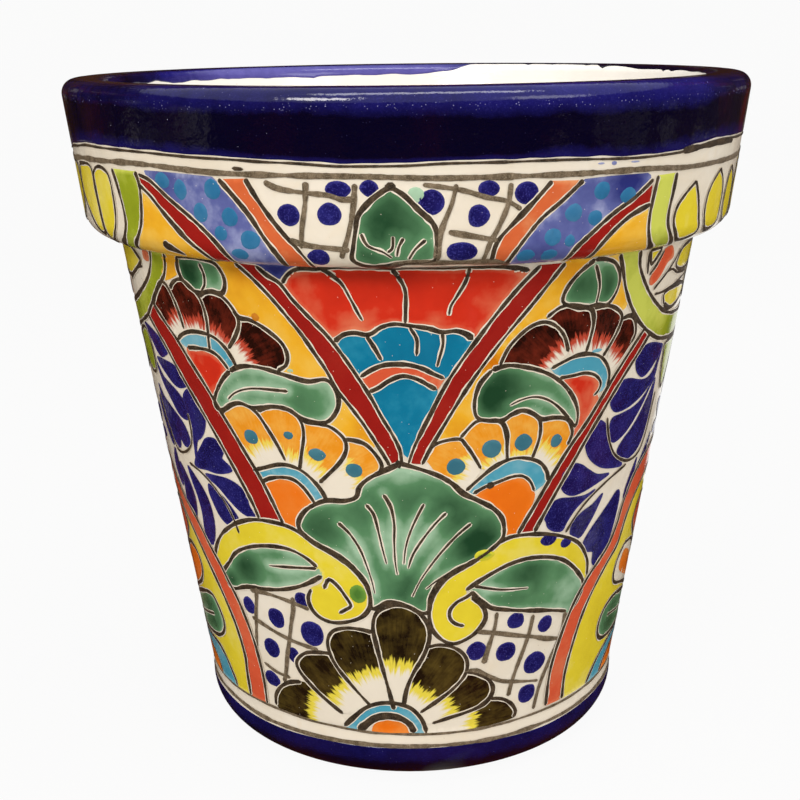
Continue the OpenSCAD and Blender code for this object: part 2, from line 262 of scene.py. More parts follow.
def facing(bm, outwards):
    """Turns the faces of an open turned surface so that all look out of the clay."""
    bmesh.ops.recalc_face_normals(bm, faces=bm.faces[:])
    face = max(bm.faces, key=lambda f: f.calc_center_median().xy.length)
    middle = face.calc_center_median()
    outside = face.normal.xy.dot(middle.xy) > 0
    if outside != outwards:
        bmesh.ops.reverse_faces(bm, faces=bm.faces[:])


white_ground = "#efe3cf"
gloss = 0.4
ground_depth = 0.25


def tin_glaze(name, pale, cream, wash):
    """White glaze with a warm wash here and there, brown pinholes and a soft gloss."""
    f = Finish(name)
    cloud = f.clouds(28, 3)
    wave = f.clouds(160, 2)
    grain = f.clouds(1200, 2)
    colour = f.mix(cloud.within(0.3, 0.75), pale, cream)
    colour = f.mix(0.5 * (wave - 0.25 * cloud).within(0.42, 0.6), colour, wash)
    colour = f.mix(f.specks(260, 0.07, 0.10), colour, "#a08a6c")
    colour = f.mix(f.specks(140, 0.035, 0.25), colour, "#5d4a38")
    return f.surface(colour, 0.08 + 0.10 * grain, wave + 0.1 * grain, 0.00025, gloss)


floor_c = (inner_radius(floor_t + floor_round) - floor_round / math.cos(lean), floor_t + floor_round)
lip_inner_c = (rim_r - rim_wall + lip_inner_round, height - lip_inner_round)
under_cobalt = 3
inside_profile = [(lip_inner_c[0] + under_cobalt, height - ground_depth)]
inside_profile += arc(lip_inner_c, lip_inner_round - ground_depth, 90, 180 - math.degrees(collar_lean))
inside_profile += [(inner_radius(z) + ground_depth, z) for z in (280, collar_z + 6, collar_z, 150)]
inside_profile += arc(floor_c, floor_round + ground_depth, -math.degrees(lean), -90)
inside_profile += [
    (60, floor_t - ground_depth), (bare_drain_r + 1, floor_t - ground_depth),
    (bare_drain_r, floor_t - drain_edge_drop)]
bm = turned(inside_profile)
facing(bm, False)
inside_white = tin_glaze("inside_white", "#ece7de", "#e6dfd4", "#e9e2d7")
inside_glaze = finished("inside_glaze", bm, inside_white)
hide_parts("inside_glaze")

# Outside glaze: the same white glaze, poured over the tapered wall and the collar.
# It is the ground of the painting and shows as a narrow white margin beside every dark line.
foot_band_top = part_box("foot_band")[1].z / mm
rim_band_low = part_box("rim_band")[0].z / mm
edge_c = (collar_bottom_r - collar_round, collar_z + collar_round)
lip_c = (rim_r - lip_round, height - lip_round)
face_run = (lip_c[0] - edge_c[0], lip_c[1] - edge_c[1])
face_turn = math.acos((collar_round - lip_round) / math.hypot(*face_run))
face_angle = math.atan2(face_run[1], face_run[0]) - face_turn
face_low = arc(edge_c, collar_round, 0, math.degrees(face_angle))[-1]
face_top = arc(lip_c, lip_round, 0, math.degrees(face_angle))[-1]
face_slope = (face_top[0] - face_low[0]) / (face_top[1] - face_low[1])
step_c = (wall_top_r + step_round * (1 - math.sin(lean)) / math.cos(lean), collar_z - step_round)
step_low = step_c[1] - step_round * math.sin(lean)


def outer_point(z):
    """Radius of the outside at a height, and the angle that its surface faces above the level."""
    if z < foot_round:
        up = foot_round - z
        return foot_r - foot_round + math.sqrt(foot_round ** 2 - up ** 2), -math.asin(up / foot_round)
    if z < foot_h:
        return foot_r, 0.0
    if z < step_low:
        return foot_r + (z - foot_h) * math.tan(lean), -lean
    if z < collar_z:
        across = math.sqrt(step_round ** 2 - (z - step_c[1]) ** 2)
        return step_c[0] - across, -math.asin((z - step_c[1]) / step_round)
    if z < face_low[1]:
        across = math.sqrt(collar_round ** 2 - (edge_c[1] - z) ** 2)
        return edge_c[0] + across, math.asin((z - edge_c[1]) / collar_round)
    return face_low[0] + (z - face_low[1]) * face_slope, face_angle


def on_pot(degrees, z, lift):
    """A point above the white ground, from its angle off the front, its height and its lift."""
    r, tilt = outer_point(z)
    above = lift - ground_depth
    r += above * math.cos(tilt)
    a = math.radians(degrees)
    return Vector((r * math.sin(a), -r * math.cos(a), z + above * math.sin(tilt))) * mm


def sunk(points):
    """Profile points of (radius, height, facing angle), moved in to the depth of the white ground."""
    return [(r - ground_depth * math.cos(t), z - ground_depth * math.sin(t)) for r, z, t in points]


wall_heights = [foot_band_top - under_cobalt, foot_band_top, foot_h - 1, foot_h + 1]
wall_heights += [60, 100, 140, 180, 215, step_low - 1]
outside_profile = sunk([(outer_point(z)[0], z, outer_point(z)[1]) for z in wall_heights])
outside_profile += arc(step_c, step_round + ground_depth, 180 - math.degrees(lean), 90)
outside_profile += arc(edge_c, collar_round - ground_depth, -90, math.degrees(face_angle))
face_heights = [265, rim_band_low - under_cobalt, rim_band_low + 2 * under_cobalt]
outside_profile += sunk([(outer_point(z)[0], z, face_angle) for z in face_heights])
bm = turned(outside_profile)
facing(bm, True)
white_glaze = tin_glaze("white_glaze", "#f1e6d4", "#e8dac3", "#ecdcc2")
outside_glaze = finished("outside_glaze", bm, white_glaze)
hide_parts("outside_glaze")

# Rim band: a thick cobalt glaze that the rim is dipped in, upside down.
# It runs over the lip, so both of its edges wander, and the inner one has short drips.


def wander(degrees, reach, seed, size=1.0):
    """A smooth irregular offset round the pot, the same after a full turn."""
    a = math.radians(degrees)
    return size * noise.noise(Vector((reach * math.cos(a), reach * math.sin(a), seed)))


def cobalt(name):
    """Nearly black where the glaze is thick, bluer where it is thin, pale violet as painted reflection
    where pool is below 0, with painted glints.
    """
    f = Finish(name)
    pool = f.attribute("pool")
    cloud = f.clouds(70, 4)
    flow = f.clouds(240, 3)
    grain = f.clouds(1400, 3)
    thick = (pool + 0.7 * (cloud - 0.5) + 0.3 * (flow - 0.5)).within(0.0, 0.8)
    colour = f.mix(thick, "#18165f", "#05031c")
    colour = f.mix(0.5 * grain.within(0.5, 0.8) * (1 - thick), colour, "#33307f")
    # Pale violet where pool is below 0: painted reflection of the bright room, on the lap inside the lip.
    colour = f.mix((0.6 * (flow - 0.55) - pool).within(0, 1), colour, "#5b559c")
    # Pale specks, most where the glaze is thin: painted glints on the gloss.
    colour = f.mix(0.55 * f.specks(620, 0.13, 0.3) * (1.15 - thick), colour, "#8d8ac4")
    colour = f.mix(0.8 * f.specks(160, 0.035, 0.3), colour, "#d6d2ea")
    # A dotted row of pale specks along the lip's edge: a painted line of glints.
    colour = f.mix(f.attribute("painted_glint_line") * f.specks(800, 0.2, 0.75), colour, "#a9a6d2")
    relief = cloud + 0.25 * flow + 0.05 * grain
    return f.surface(colour, 0.06 + 0.10 * grain, relief, 0.0004, gloss)


def reading(knots, degrees):
    """The height at an angle, between the nearest two of a row of (degrees, height)."""
    for (a0, z0), (a1, z1) in zip(knots, knots[1:]):
        if a0 <= degrees <= a1:
            share = (degrees - a0) / (a1 - a0)
            return z0 + (z1 - z0) * share * share * (3 - 2 * share)
    return knots[0][1]


rim_edge = [
    (-180, 279.6), (-150, 280.6), (-120, 278.8), (-95, 278), (-78, 276.8), (-68, 279.4), (-60, 281.1),
    (-44, 281.2), (-28, 280.4), (-17, 279.6), (-9, 278.6), (-2, 278.6), (6, 279.3), (20, 279.2), (36, 278),
    (44, 278.3), (48, 279.9), (56, 281.1), (68, 280.4), (90, 279), (120, 280.4), (150, 279), (180, 279.6)]
rim_start = 270
rim_way = [Vector((outer_point(z)[0], z)) for z in (rim_start, 276, 282, 288, 293)]
lip_at = len(rim_way)
rim_way += [Vector(p) for p in arc(lip_c, lip_round, math.degrees(face_angle), 90)]
crest_at = len(rim_way)
rim_way += [Vector(p) for p in arc(lip_inner_c, lip_inner_round, 90, 180 - math.degrees(collar_lean))]
rim_way += [Vector((inner_radius(z), z)) for z in (292, 284)]
rim_run = [0.0]
for first, second in zip(rim_way, rim_way[1:]):
    rim_run.append(rim_run[-1] + (second - first).length)


def on_rim(run, lift):
    """A point of the rim's profile at a run from its lower end, lifted off the glaze's surface."""
    i = max(k for k in range(len(rim_run) - 1) if rim_run[k] <= run)
    way = rim_way[i + 1] - rim_way[i]
    point = rim_way[i] + way * ((run - rim_run[i]) / way.length)
    return point + Vector((way.y, -way.x)).normalized() * lift


lap_depth = [(-180, 8.6), (-150, 8.9), (-110, 8.2), (-70, 8.4), (-30, 6.5), (0, 5.5), (40, 4.2), (90, 4.4),
             (118, 4.4), (128, 3.4), (136, 1.6), (163, 1.6), (170, 6.0), (176, 8.4), (180, 8.6)]
# Painted reflection on the lap inside the lip: it turns pale violet where this row is above 0, at the back,
# and stays dark where it is below 0.
lap_reflection = [
    (-180, 0.8), (-138, 0.85), (-122, 0.2), (-108, -0.7), (-60, -0.2), (60, -0.2), (100, -0.9), (140, -0.9),
    (165, 0.3), (175, 0.8), (180, 0.8)]
lap_drips = [(-180, 0.15), (-100, 0.15), (60, 0.4), (105, 1.0), (140, 1.0), (160, 0.15), (180, 0.15)]
thin_foot = [(-180, 8), (-60, 9), (-35, 7), (-15, 3), (12, 3), (25, 8), (60, 9), (180, 8)]
# The lip is lighter and bluer than the face below it: partly thinner glaze where it runs off the edge,
# partly a painted reflection of the bright room above. The crest between lip and lap is kept dark.
lip_thinning_and_reflection = [
    (-180, -0.3), (-95, -0.7), (-48, -0.65), (-38, -0.45), (-15, -0.35), (15, -0.15), (48, -0.1),
    (56, -0.65), (95, -0.7), (180, -0.3)]
lip_fade = 7
crest_dark = -0.8
crest_outside = 6
crest_inside = 1.2
lap_reflection_run = 2
thinnest = 0.25
thickening = 0.9
drip_length = 10
painted_glint_width = 1.3
lip_run = rim_run[lip_at]
edge_width = 1.4
edge_runs = [(0.0, -ground_depth - 0.05), (0.25, -0.12), (0.7, -0.03), (edge_width, 0.0)]
rim_rows = 44
bm = turned([(rim_r, i) for i in range(rim_rows)])
pool = bm.verts.layers.float.new("pool")
painted_glint_line = bm.verts.layers.float.new("painted_glint_line")
for v in bm.verts:
    a = math.atan2(v.co.x, -v.co.y)
    degrees = math.degrees(a)
    row = round(v.co.z / mm)
    drip = max(0.0, wander(degrees, 22, 11.0)) ** 2 * drip_length * reading(lap_drips, degrees)
    low = (reading(rim_edge, degrees) + wander(degrees, 16, 5.0, 0.5) - rim_start) / math.cos(face_angle)
    lap = rim_run[crest_at] + reading(lap_depth, degrees) + wander(degrees, 9, 7.0, 1.4) + drip
    from_end = min(row, rim_rows - 1 - row)
    if from_end < len(edge_runs):
        inset, lift = edge_runs[from_end]
        run = low + inset if row == from_end else lap - inset
    else:
        share = (row - len(edge_runs) + 1) / (rim_rows - 2 * len(edge_runs) + 1)
        run = low + edge_width + (lap - low - 2 * edge_width) * share
        lift = 0.0
    point = on_rim(run, lift)
    past_crest = run - rim_run[crest_at]
    if past_crest > crest_inside:
        share = min(1.0, (past_crest - crest_inside) / lap_reflection_run)
        lightening = crest_dark + (reading(lap_reflection, degrees) - crest_dark) * share
    elif past_crest > -crest_outside:
        lightening = crest_dark
    else:
        lightening = reading(lip_thinning_and_reflection, degrees) - max(0.0, lip_run - run) / lip_fade
    v[pool] = min(1.0, thinnest + thickening * (run - low) / reading(thin_foot, degrees), -lightening)
    v[painted_glint_line] = max(0.0, 1 - abs(run - lip_run - wander(degrees, 7, 3.0, 1.2)) / painted_glint_width)
    v.co = Vector((point.x * math.sin(a), -point.x * math.cos(a), point.y)) * mm
facing(bm, True)
cobalt_glaze = cobalt("cobalt_glaze")
rim_band = finished("rim_band", bm, cobalt_glaze)
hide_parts("rim_band")

# Foot band: a broad ring of the same cobalt glaze round the rounded foot.
# It is brushed on while the pot turns on the wheel, and wiped away below to bare a narrow ring of clay.
foot_band_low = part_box("foot_band")[0].z / mm
foot_crowding = 1.6
foot_shares = [(i / round_steps) ** foot_crowding for i in range(round_steps + 1)]
foot_heights = [foot_band_low + (foot_round - foot_band_low) * share for share in foot_shares]
foot_profile = [(outer_point(z)[0], z) for z in foot_heights]
foot_profile += [
    (foot_r, foot_band_top - 0.6), (foot_r - 0.08, foot_band_top - 0.2),
    (foot_r - ground_depth - 0.05, foot_band_top)]
# The band's colour darkens from its top towards the bottom of the foot.
foot_top_darkness = 0.45
foot_bottom_darkness = 0.95
foot_darkening_run = 12
loose_from = foot_round - 2
bm = turned(foot_profile)
facing(bm, True)
pool = bm.verts.layers.float.new("pool")
for v in bm.verts:
    z = v.co.z / mm
    v[pool] = max(foot_top_darkness, min(foot_bottom_darkness, (foot_band_top - z) / foot_darkening_run))
    if z > loose_from:
        degrees = math.degrees(math.atan2(v.co.x, -v.co.y))
        share = (z - loose_from) / (foot_band_top - loose_from)
        v.co.z += share * wander(degrees, 3, 11.0, 0.9) * mm
foot_band = finished("foot_band", bm, cobalt_glaze)
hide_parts("foot_band")

# Rings: dark lines of iron and manganese drawn with a loaded brush while the pot turns on the wheel.
# The line material is dry and grainy beside the glazes, and each line swells and thins along its way.
line_lift = 0.30
line_dome = 0.06
margin_lift = 0.25
margin = 0.46
line_step = 1.3
fine_step = 0.6
across_steps = 4
slow_swell = 0.5
slow_length = 10
quick_swell = 0.2
quick_length = 2.2
ragged_swell = 0.9
ragged_length = 4
blunt_end = 0.25
stroke_gap = 1.7


def brush_line(name, dark, light, dry, share):
    """A dull pigment that is streaked along the stroke, and drier in about that share of its grain."""
    f = Finish(name)
    streak = f.clouds(380, 4)
    grain = f.clouds(2200, 3)
    colour = f.mix(streak.within(0.38, 0.68), dark, light)
    colour = f.mix(share * grain.within(0.5, 0.72), colour, dry)
    colour = f.mix(0.8 * f.specks(330, 0.07, 0.2), colour, white_ground)
    return f.surface(colour, 0.28 + 0.25 * grain, grain + streak, 0.0001, gloss)


line_pigment = brush_line("line_pigment", "#2a2015", "#54432f", "#857560", 0.45)
thin_pigment = brush_line("thin_pigment", "#564733", "#83715a", "#b3a488", 0.6)


def flat(points):
    """Points of (degrees, height) as millimetres on the unrolled pot, with the scale used."""
    middle = sum(z for a, z in points) / len(points)
    scale = math.radians(outer_point(middle)[0])
    return [Vector((a * scale, z)) for a, z in points], scale


def smooth_way(knots, loop=False, step=line_step):
    """An even row of points on a smooth curve through the knots."""
    count = len(knots)
    way = []
    for i in range(count if loop else count - 1):
        if loop:
            p0, p1, p2, p3 = (knots[(i + k) % count] for k in (-1, 0, 1, 2))
        else:
            p0, p1, p2, p3 = (knots[min(max(i + k, 0), count - 1)] for k in (-1, 0, 1, 2))
        steps = max(1, round((p2 - p1).length / step))
        for s in range(steps):
            t = s / steps
            way.append(0.5 * (2 * p1 + (p2 - p0) * t + (2 * p0 - 5 * p1 + 4 * p2 - p3) * t ** 2
                              + (3 * p1 - p0 - 3 * p2 + p3) * t ** 3))
    if not loop:
        way.append(knots[-1])
    return way


def ribbon(bm, way, scale, half_width, tail, extra, lift, dome, turn, material, seed):
    """A band that follows a way on the pot, with a wandering width, a thinner tail and rounded ends."""
    count = len(way)
    grid = bmesh.ops.create_grid(bm, x_segments=count - 1, y_segments=across_steps, size=1.0)["verts"]
    along = [0.0]
    for first, second in zip(way, way[1:]):
        along.append(along[-1] + (second - first).length)
    halves, sides = [], []
    for i in range(count):
        run = way[min(i + 1, count - 1)] - way[max(i - 1, 0)]
        run = run.normalized() if run.length > 1e-9 else Vector((1.0, 0.0))
        sides.append(Vector((-run.y, run.x)))
        swell = 1 + slow_swell * noise.noise(Vector((along[i] / slow_length, seed * stroke_gap, 0.0)))
        swell += quick_swell * noise.noise(Vector((along[i] / quick_length, seed * stroke_gap, 5.0)))
        swell *= 1 - (1 - tail) * along[i] / along[-1]
        end = min(1.0, min(along[i], along[-1] - along[i]) / half_width)
        swell *= blunt_end + (1 - blunt_end) * math.sqrt(1 - (1 - end) ** 2)
        ragged = 1 + ragged_swell * noise.noise(Vector((along[i] / ragged_length, seed * stroke_gap, 9.0)))
        halves.append(half_width * swell + extra * ragged)
    for v in grid:
        i = round((v.co.x + 1) / 2 * (count - 1))
        point = way[i] + sides[i] * (v.co.y * halves[i])
        v.co = on_pot(point.x / scale + turn, point.y, lift + dome * (1 - v.co.y ** 2))
    for face in {face for v in grid for face in v.link_faces}:
        face.material_index = material


def outlines(name, lines, turns=(0, 180), width=1.85, halo=margin, pigment=line_pigment, step=line_step,
             raised=0.0):
    """The dark lines of a figure, each with its white margin.

    An entry is a row of points, or points with a width, or points with a width and the share of it that is
    left at the tail.
    """
    bm = bmesh.new()
    for seed, line in enumerate(lines):
        points, line_width, tail = ((*line, 1.0) if isinstance(line, tuple) else (line, width, 1.0))[:3]
        knots, scale = flat(points)
        way = smooth_way(knots, False, step)
        for turn in turns:
            if halo:
                ribbon(bm, way, scale, line_width / 2, tail, halo, margin_lift + raised, 0.0, turn, 0, seed)
            ribbon(bm, way, scale, line_width / 2, tail, 0.0, line_lift + raised, line_dome, turn, 1, seed)
    facing_out(bm)
    piece = finished(name, bm, white_glaze, pigment)
    return piece


def facing_out(bm):
    """Turns every face that looks into the pot."""
    bm.normal_update()
    inwards = [f for f in bm.faces if f.normal.xy.dot(f.calc_center_median().xy) < 0]
    bmesh.ops.reverse_faces(bm, faces=inwards)


def ring_line(knots, drop=0.0):
    """Points of a hand drawn ring all the way round, from a few read heights."""
    return [(a, reading(knots, a) - drop) for a in range(-180, 181, 5)]


once = (0,)
below_rim = 0.9
thin_line = 1.0
bold_line = 2.1
bold_ring = [
    (-180, 273.4), (-140, 274.4), (-110, 272.8), (-76, 272.7), (-60, 274.7), (-44, 275.7), (-24, 274.2),
    (-9, 274.2), (6, 273.2), (36, 272.7), (48, 271.3), (60, 271.3), (90, 272.6), (130, 274.2), (160, 272.8),
    (180, 273.4)]
upper_foot_ring = [
    (-180, 26.6), (-120, 27.4), (-60, 28), (-40, 28.3), (-20, 27.2), (-10, 26.2), (10, 25.9), (40, 27),
    (60, 27.5), (120, 26.2), (180, 26.6)]
lower_foot_ring = [
    (-180, 20.4), (-120, 21.2), (-60, 22), (-40, 20.5), (0, 20.2), (20, 19.9), (40, 20.4), (60, 21.3),
    (120, 20.4), (180, 20.4)]
rim_smears = [
    ([(45, 278), (50, 278.6), (58, 279.2), (63, 278.6)], 2.4), ([(-25, 276.2), (-23.2, 276)], 1.2)]
collar_lines = outlines("collar_lines", [(ring_line(rim_edge, below_rim), thin_line)], once, halo=0)
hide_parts("collar_lines")
bold_collar_line = outlines(
    "bold_collar_line", [(ring_line(bold_ring), bold_line)], once, halo=0, pigment=thin_pigment)
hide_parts("collar_lines")
outlines("rim_smears", rim_smears, halo=0)
foot_lines = outlines("foot_lines", [
    (ring_line(upper_foot_ring), 1.3), (ring_line(lower_foot_ring), 1.9)],
    once, halo=0, pigment=thin_pigment)
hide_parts("foot_lines")

# Red fan: the big figure under the collar. Each glaze is dripped from a full brush into its dark outline,
# stops just short of the line, and fires to a slightly raised, glossy pool.
field_edge = 0.4
field_lift = 0.20
edge_lift = 0.03
field_cut = 3.0
deep = 6.0
bend_heights = [step_c[1] + step_round * math.sin(math.radians(a)) for a in range(0, 90, 15)]
bend_heights += [edge_c[1] + collar_round * math.sin(math.radians(a)) for a in range(-84, 0, 7)]


def nearest(points):
    """A measure of the distance from a place to the nearest of some points."""
    tree = kdtree.KDTree(len(points))
    for i, p in enumerate(points):
        tree.insert((p.x, p.y, 0.0), i)
    tree.balance()
    return lambda place: tree.find(place)[2]


def pot_fields(name, nodes, material, fields, turns=(0, 180), raised=0.0, pools=(), centre=None,
               veins=(), cut=field_cut):
    """Raised glaze fields. A field is one closed row of points, or several sides that meet in corners.

    Pools are (degrees, height, radius, strength) where the glaze runs deep, or thin below 0, and it also
    thins beside veins. With a centre, each field is a pair of its sides and the distance from that centre
    at which its brushed colour frays out.
    """
    whole = bmesh.new()
    for field in fields:
        sides, reach = field if centre else (field, 0)
        sides = sides if isinstance(sides[0], list) else [sides]
        scale = flat([p for side in sides for p in side])[1]
        ways = [smooth_way([Vector((a * scale, z)) for a, z in side], len(sides) == 1) for side in sides]
        way = [p for w in ways for p in (w if len(sides) == 1 else w[:-1])]
        drawn = way + [p for vein in veins for p in smooth_way([Vector((a * scale, z)) for a, z in vein])]
        to_edge, to_line = nearest(way), nearest(drawn)
        bm = bmesh.new()
        depth = bm.verts.layers.float.new("depth")
        pool = bm.verts.layers.float.new("pool")
        flame = bm.loops.layers.uv.new("flame")
        ring = bmesh.ops.create_circle(bm, cap_ends=True, segments=len(way), radius=1.0)["verts"]
        for v, p in zip(ring, way):
            v.co = (p.x, p.y, 0)
        face = ring[0].link_faces[0]
        bmesh.ops.inset_region(
            bm, faces=[face], thickness=field_edge, use_boundary=True, use_even_offset=False)
        bmesh.ops.triangulate(bm, faces=[face])
        for axis in (0, 1):
            low, high = min(p[axis] for p in way), max(p[axis] for p in way)
            count = max(1, round((high - low) / cut))
            cuts = [low + (high - low) * i / count for i in range(1, count)]
            if axis == 1:
                cuts += [z for z in bend_heights if low < z < high]
            for at in cuts:
                plane = [0.0, 0.0, 0.0]
                plane[axis] = 1.0
                bmesh.ops.bisect_plane(bm, geom=bm.verts[:] + bm.edges[:] + bm.faces[:], dist=1e-4,
                                       plane_co=Vector(plane) * at, plane_no=plane)
        for v in bm.verts:
            v[depth] = min(deep, to_line(v.co))
            for a, z, radius, strength in pools:
                away = math.hypot(v.co.x - a * scale, v.co.y - z) / radius
                v[pool] += strength * max(0.0, 1 - away ** 2) ** 2
        if centre:
            for loop in (l for f in bm.faces for l in f.loops):
                away = loop.vert.co.xy - Vector((centre[0] * scale, centre[1]))
                loop[flame].uv = (math.atan2(away.x, away.y) * reach, away.length - reach)
        places = [(v.co.x / scale, v.co.y, min(1.0, to_edge(v.co) / field_edge)) for v in bm.verts]
        for turn in turns:
            for v, (a, z, rise) in zip(bm.verts, places):
                v.co = on_pot(a + turn, z, raised + edge_lift + (field_lift - edge_lift) * rise)
            facing_out(bm)
            part = bpy.data.meshes.new(name)
            bm.to_mesh(part)
            whole.from_mesh(part)
            bpy.data.meshes.remove(part)
        bm.free()
    piece = finished(name, whole, material)
    if nodes:
        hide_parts(*nodes)
    return piece


def enamel(name, body, thin, pooled, speck=0.3, spread=0.9, shore=1.8, fall=0.4, mottle=0.3):
    """A coloured glaze: paler where it thins along its shore, darker where it gathers, with pinholes."""
    f = Finish(name)
    pool = f.attribute("pool")
    depth = f.attribute("depth")
    cloud = f.clouds(42, 3)
    flow = f.clouds(210, 3)
    grain = f.clouds(1500, 2)
    thick = 0.5 + spread * (cloud - 0.5) + mottle * (flow - 0.5) + pool
    thick = thick - fall * (shore - depth).within(0, shore)
    colour = f.mix(thick.within(0.0, 0.5), thin, body)
    colour = f.mix(thick.within(0.5, 1.5), colour, pooled)
    colour = f.mix(0.8 * f.specks(430, 0.09, speck), colour, white_ground)
    relief = cloud + 0.3 * flow + 0.05 * grain
    return f.surface(colour, 0.07 + 0.10 * grain, relief, 0.0003, gloss)


red_enamel = enamel("red_enamel", "#d5321c", "#e27c58", "#ad1f12", shore=3.0, fall=0.5, spread=1.3)
turquoise_enamel = enamel(
    "turquoise_enamel", "#0f7799", "#2f93b0", "#0a5f82", speck=0.5, spread=1.4, mottle=0.6)
dark_red_enamel = enamel("dark_red_enamel", "#9c1e18", "#a82c20", "#7c120d")
coral_enamel = enamel("coral_enamel", "#dc5b3a", "#df8c62", "#c04526")

stripe_left = [
    (-30.4, 237.8), (-27.4, 232.5), (-24, 225), (-21.1, 217.2), (-18.9, 211), (-16.6, 203), (-14.7, 196.2),
    (-12.9, 188), (-11.3, 183.4), (-8.8, 175.6), (-6.6, 167.6), (-4.6, 160), (-3.8, 156.5)]
stripe_left_in = [
    (-26.2, 237.4), (-24.3, 234), (-22, 231), (-19.9, 224.8), (-17.1, 218), (-14, 210.6), (-11.4, 202.5),
    (-9, 194), (-6.9, 186), (-5, 177.5), (-3.1, 170), (-1.8, 163.5), (-1.5, 157.5)]
stripe_right_in = [
    (22.6, 237), (19, 229), (15.2, 218.8), (12, 209), (9, 199.5), (6.4, 190), (4.2, 180), (2, 170),
    (0.7, 163.5), (-0.2, 157.5)]
stripe_right = [
    (27.4, 237), (24.8, 230), (21.3, 220.5), (17.4, 210.3), (13.9, 200), (10.8, 190), (8.1, 180),
    (5.5, 170), (4, 164), (2.4, 157)]
fan_top = [
    (-21.5, 231), (-20.7, 233.8), (-19.4, 236.2), (-17.5, 237.6), (-14.5, 237.8), (-10, 238.6), (-4, 238.6),
    (8, 238.3), (16, 237.4), (20.6, 235.4)]
scallop_top = [
    (-12.9, 208.6), (-11.2, 211.6), (-9.2, 212.5), (-7.4, 211.8), (-6.2, 212.4), (-4.6, 214.9),
    (-2.4, 216.2), (0, 215.6), (3.4, 214.3), (5.8, 212.6), (8.2, 212.9), (10.2, 211.2), (11.2, 209)]
arc_top = [(-8.6, 194.4), (-6.4, 197.6), (-4, 199.6), (-0.4, 199.7), (2.4, 198), (4.4, 195.6), (6.3, 193.6)]
arc_low = [(-7.2, 188.2), (-5.5, 189.9), (-3.4, 193.1), (-1, 195), (1.5, 193.6), (3.5, 191), (5, 189)]


def band(first, second):
    """The field between two lines that run the same way."""
    return [first, [first[-1], second[-1]], second[::-1], [second[0], first[0]]]


fan_field = [fan_top, [(20.6, 235.4), (19, 229), (15.2, 218.8), (11.2, 209)], scallop_top[::-1],
             [(-12.9, 208.6), (-14, 210.6), (-17.1, 218), (-19.9, 224.8), (-21.5, 231)]]
scallop_field = [
    scallop_top, [(11.2, 209), (9, 199.5), (6.3, 193.6)], arc_top[::-1],
    [(-8.6, 194.4), (-11.4, 202.5), (-12.9, 208.6)]]
tip_field = [arc_low, [(5, 189), (4.2, 180), (2, 170), (0.7, 163.5), (-0.4, 160.5)],
             [(-0.4, 160.5), (-1.6, 163.8), (-3.1, 170), (-5, 177.5), (-7.2, 188.2)]]
# The last pool darkens the red at the top of the fan, right under the collar: painted shadow of the
# collar's overhang. The other pools thin the glaze.
pot_fields(
    "red_fan", ["red_fan"], red_enamel, [fan_field],
    pools=[
        (-17, 223, 13, -0.3), (-9, 217, 11, -0.3), (5, 217, 10, -0.25), (13, 223, 11, -0.15),
        (0, 236, 14, 0.3)])
pot_fields("fan_scallops", ["fan_scallops"], turquoise_enamel, [scallop_field])
pot_fields("fan_arc", ["fan_arc"], coral_enamel, [band(arc_top, arc_low)])
pot_fields("fan_tip", ["fan_tip"], turquoise_enamel, [tip_field])
pot_fields("fan_stripes", ["fan_stripes"], dark_red_enamel,
           [band(stripe_left, stripe_left_in), band(stripe_right_in, stripe_right)])
fan_strokes = [
    ([(-14.5, 237.8), (-12.9, 235.8), (-11, 232), (-9.7, 226.4), (-8.4, 220.2), (-7.7, 217.4)], 1.5, 0.7),
    ([(-2.6, 238), (-1.2, 233.6), (-0.4, 229), (-0.4, 222), (-0.5, 216.2)], 1.5),
    ([(10.2, 238), (9.6, 232.6), (8.2, 226.8), (7.2, 223), (6.9, 219.2)], 1.4, 0.7),
    ([(-7.2, 211.4), (-6, 207), (-4.7, 201.4)], 1.4),
    ([(0.2, 215), (1.4, 210.4), (1.5, 206.4), (1.4, 203.2)], 1.5),
    ([(5.8, 212.5), (6, 208), (5.5, 203), (5, 198.5)], 1.6, 0.7)]
outlines(
    "fan_outlines", fan_strokes
    + [(line, 1.5) for line in (stripe_left, stripe_left_in, stripe_right_in, stripe_right)]
    + [(fan_top, 1.7), (scallop_top, 2.0), (arc_top, 1.7), (arc_low, 1.7)])

# Yellow panels and small leaves: the plain warm ground beside the fan, and a leaf tucked under the collar.
# Both are dripped in with a full brush. Where they gather, the yellow turns orange and the green dark.
yellow_enamel = enamel("yellow_enamel", "#f0b02a", "#f5c95e", "#d2760c", spread=1.5)
green_enamel = enamel("green_enamel", "#5b8a60", "#a6c6a6", "#1e4329", spread=0.9, shore=4.0, fall=0.5)
leaf_cut = 1.5
yellow_left = [
    [(-34.6, 238), (-30.2, 238), (-27.4, 232.5), (-24, 225), (-21.1, 217.2), (-18.9, 211), (-16.6, 203),
     (-14.8, 196.5), (-14.3, 193.4), (-15, 192.4), (-18.4, 191.4), (-22, 192.8), (-24.3, 194.6),
     (-22.4, 197.4), (-21.9, 202), (-23, 207.2), (-25.8, 212), (-28.8, 215), (-31.4, 215.6), (-33.2, 220),
     (-33.6, 225.3), (-33.2, 230), (-33.8, 234)],
    [(-12.3, 183.6), (-11.3, 183.2), (-8.8, 175.6), (-6.7, 168), (-6.9, 164.4), (-8.2, 165.8),
     (-10.5, 167.3), (-12.4, 168.3), (-14.4, 172.5), (-15, 175), (-13.4, 178.5)],
    [(-49.4, 238), (-44.7, 238), (-44.9, 232), (-46.5, 228.8), (-50, 226.2), (-50.6, 229), (-49.4, 233)]]
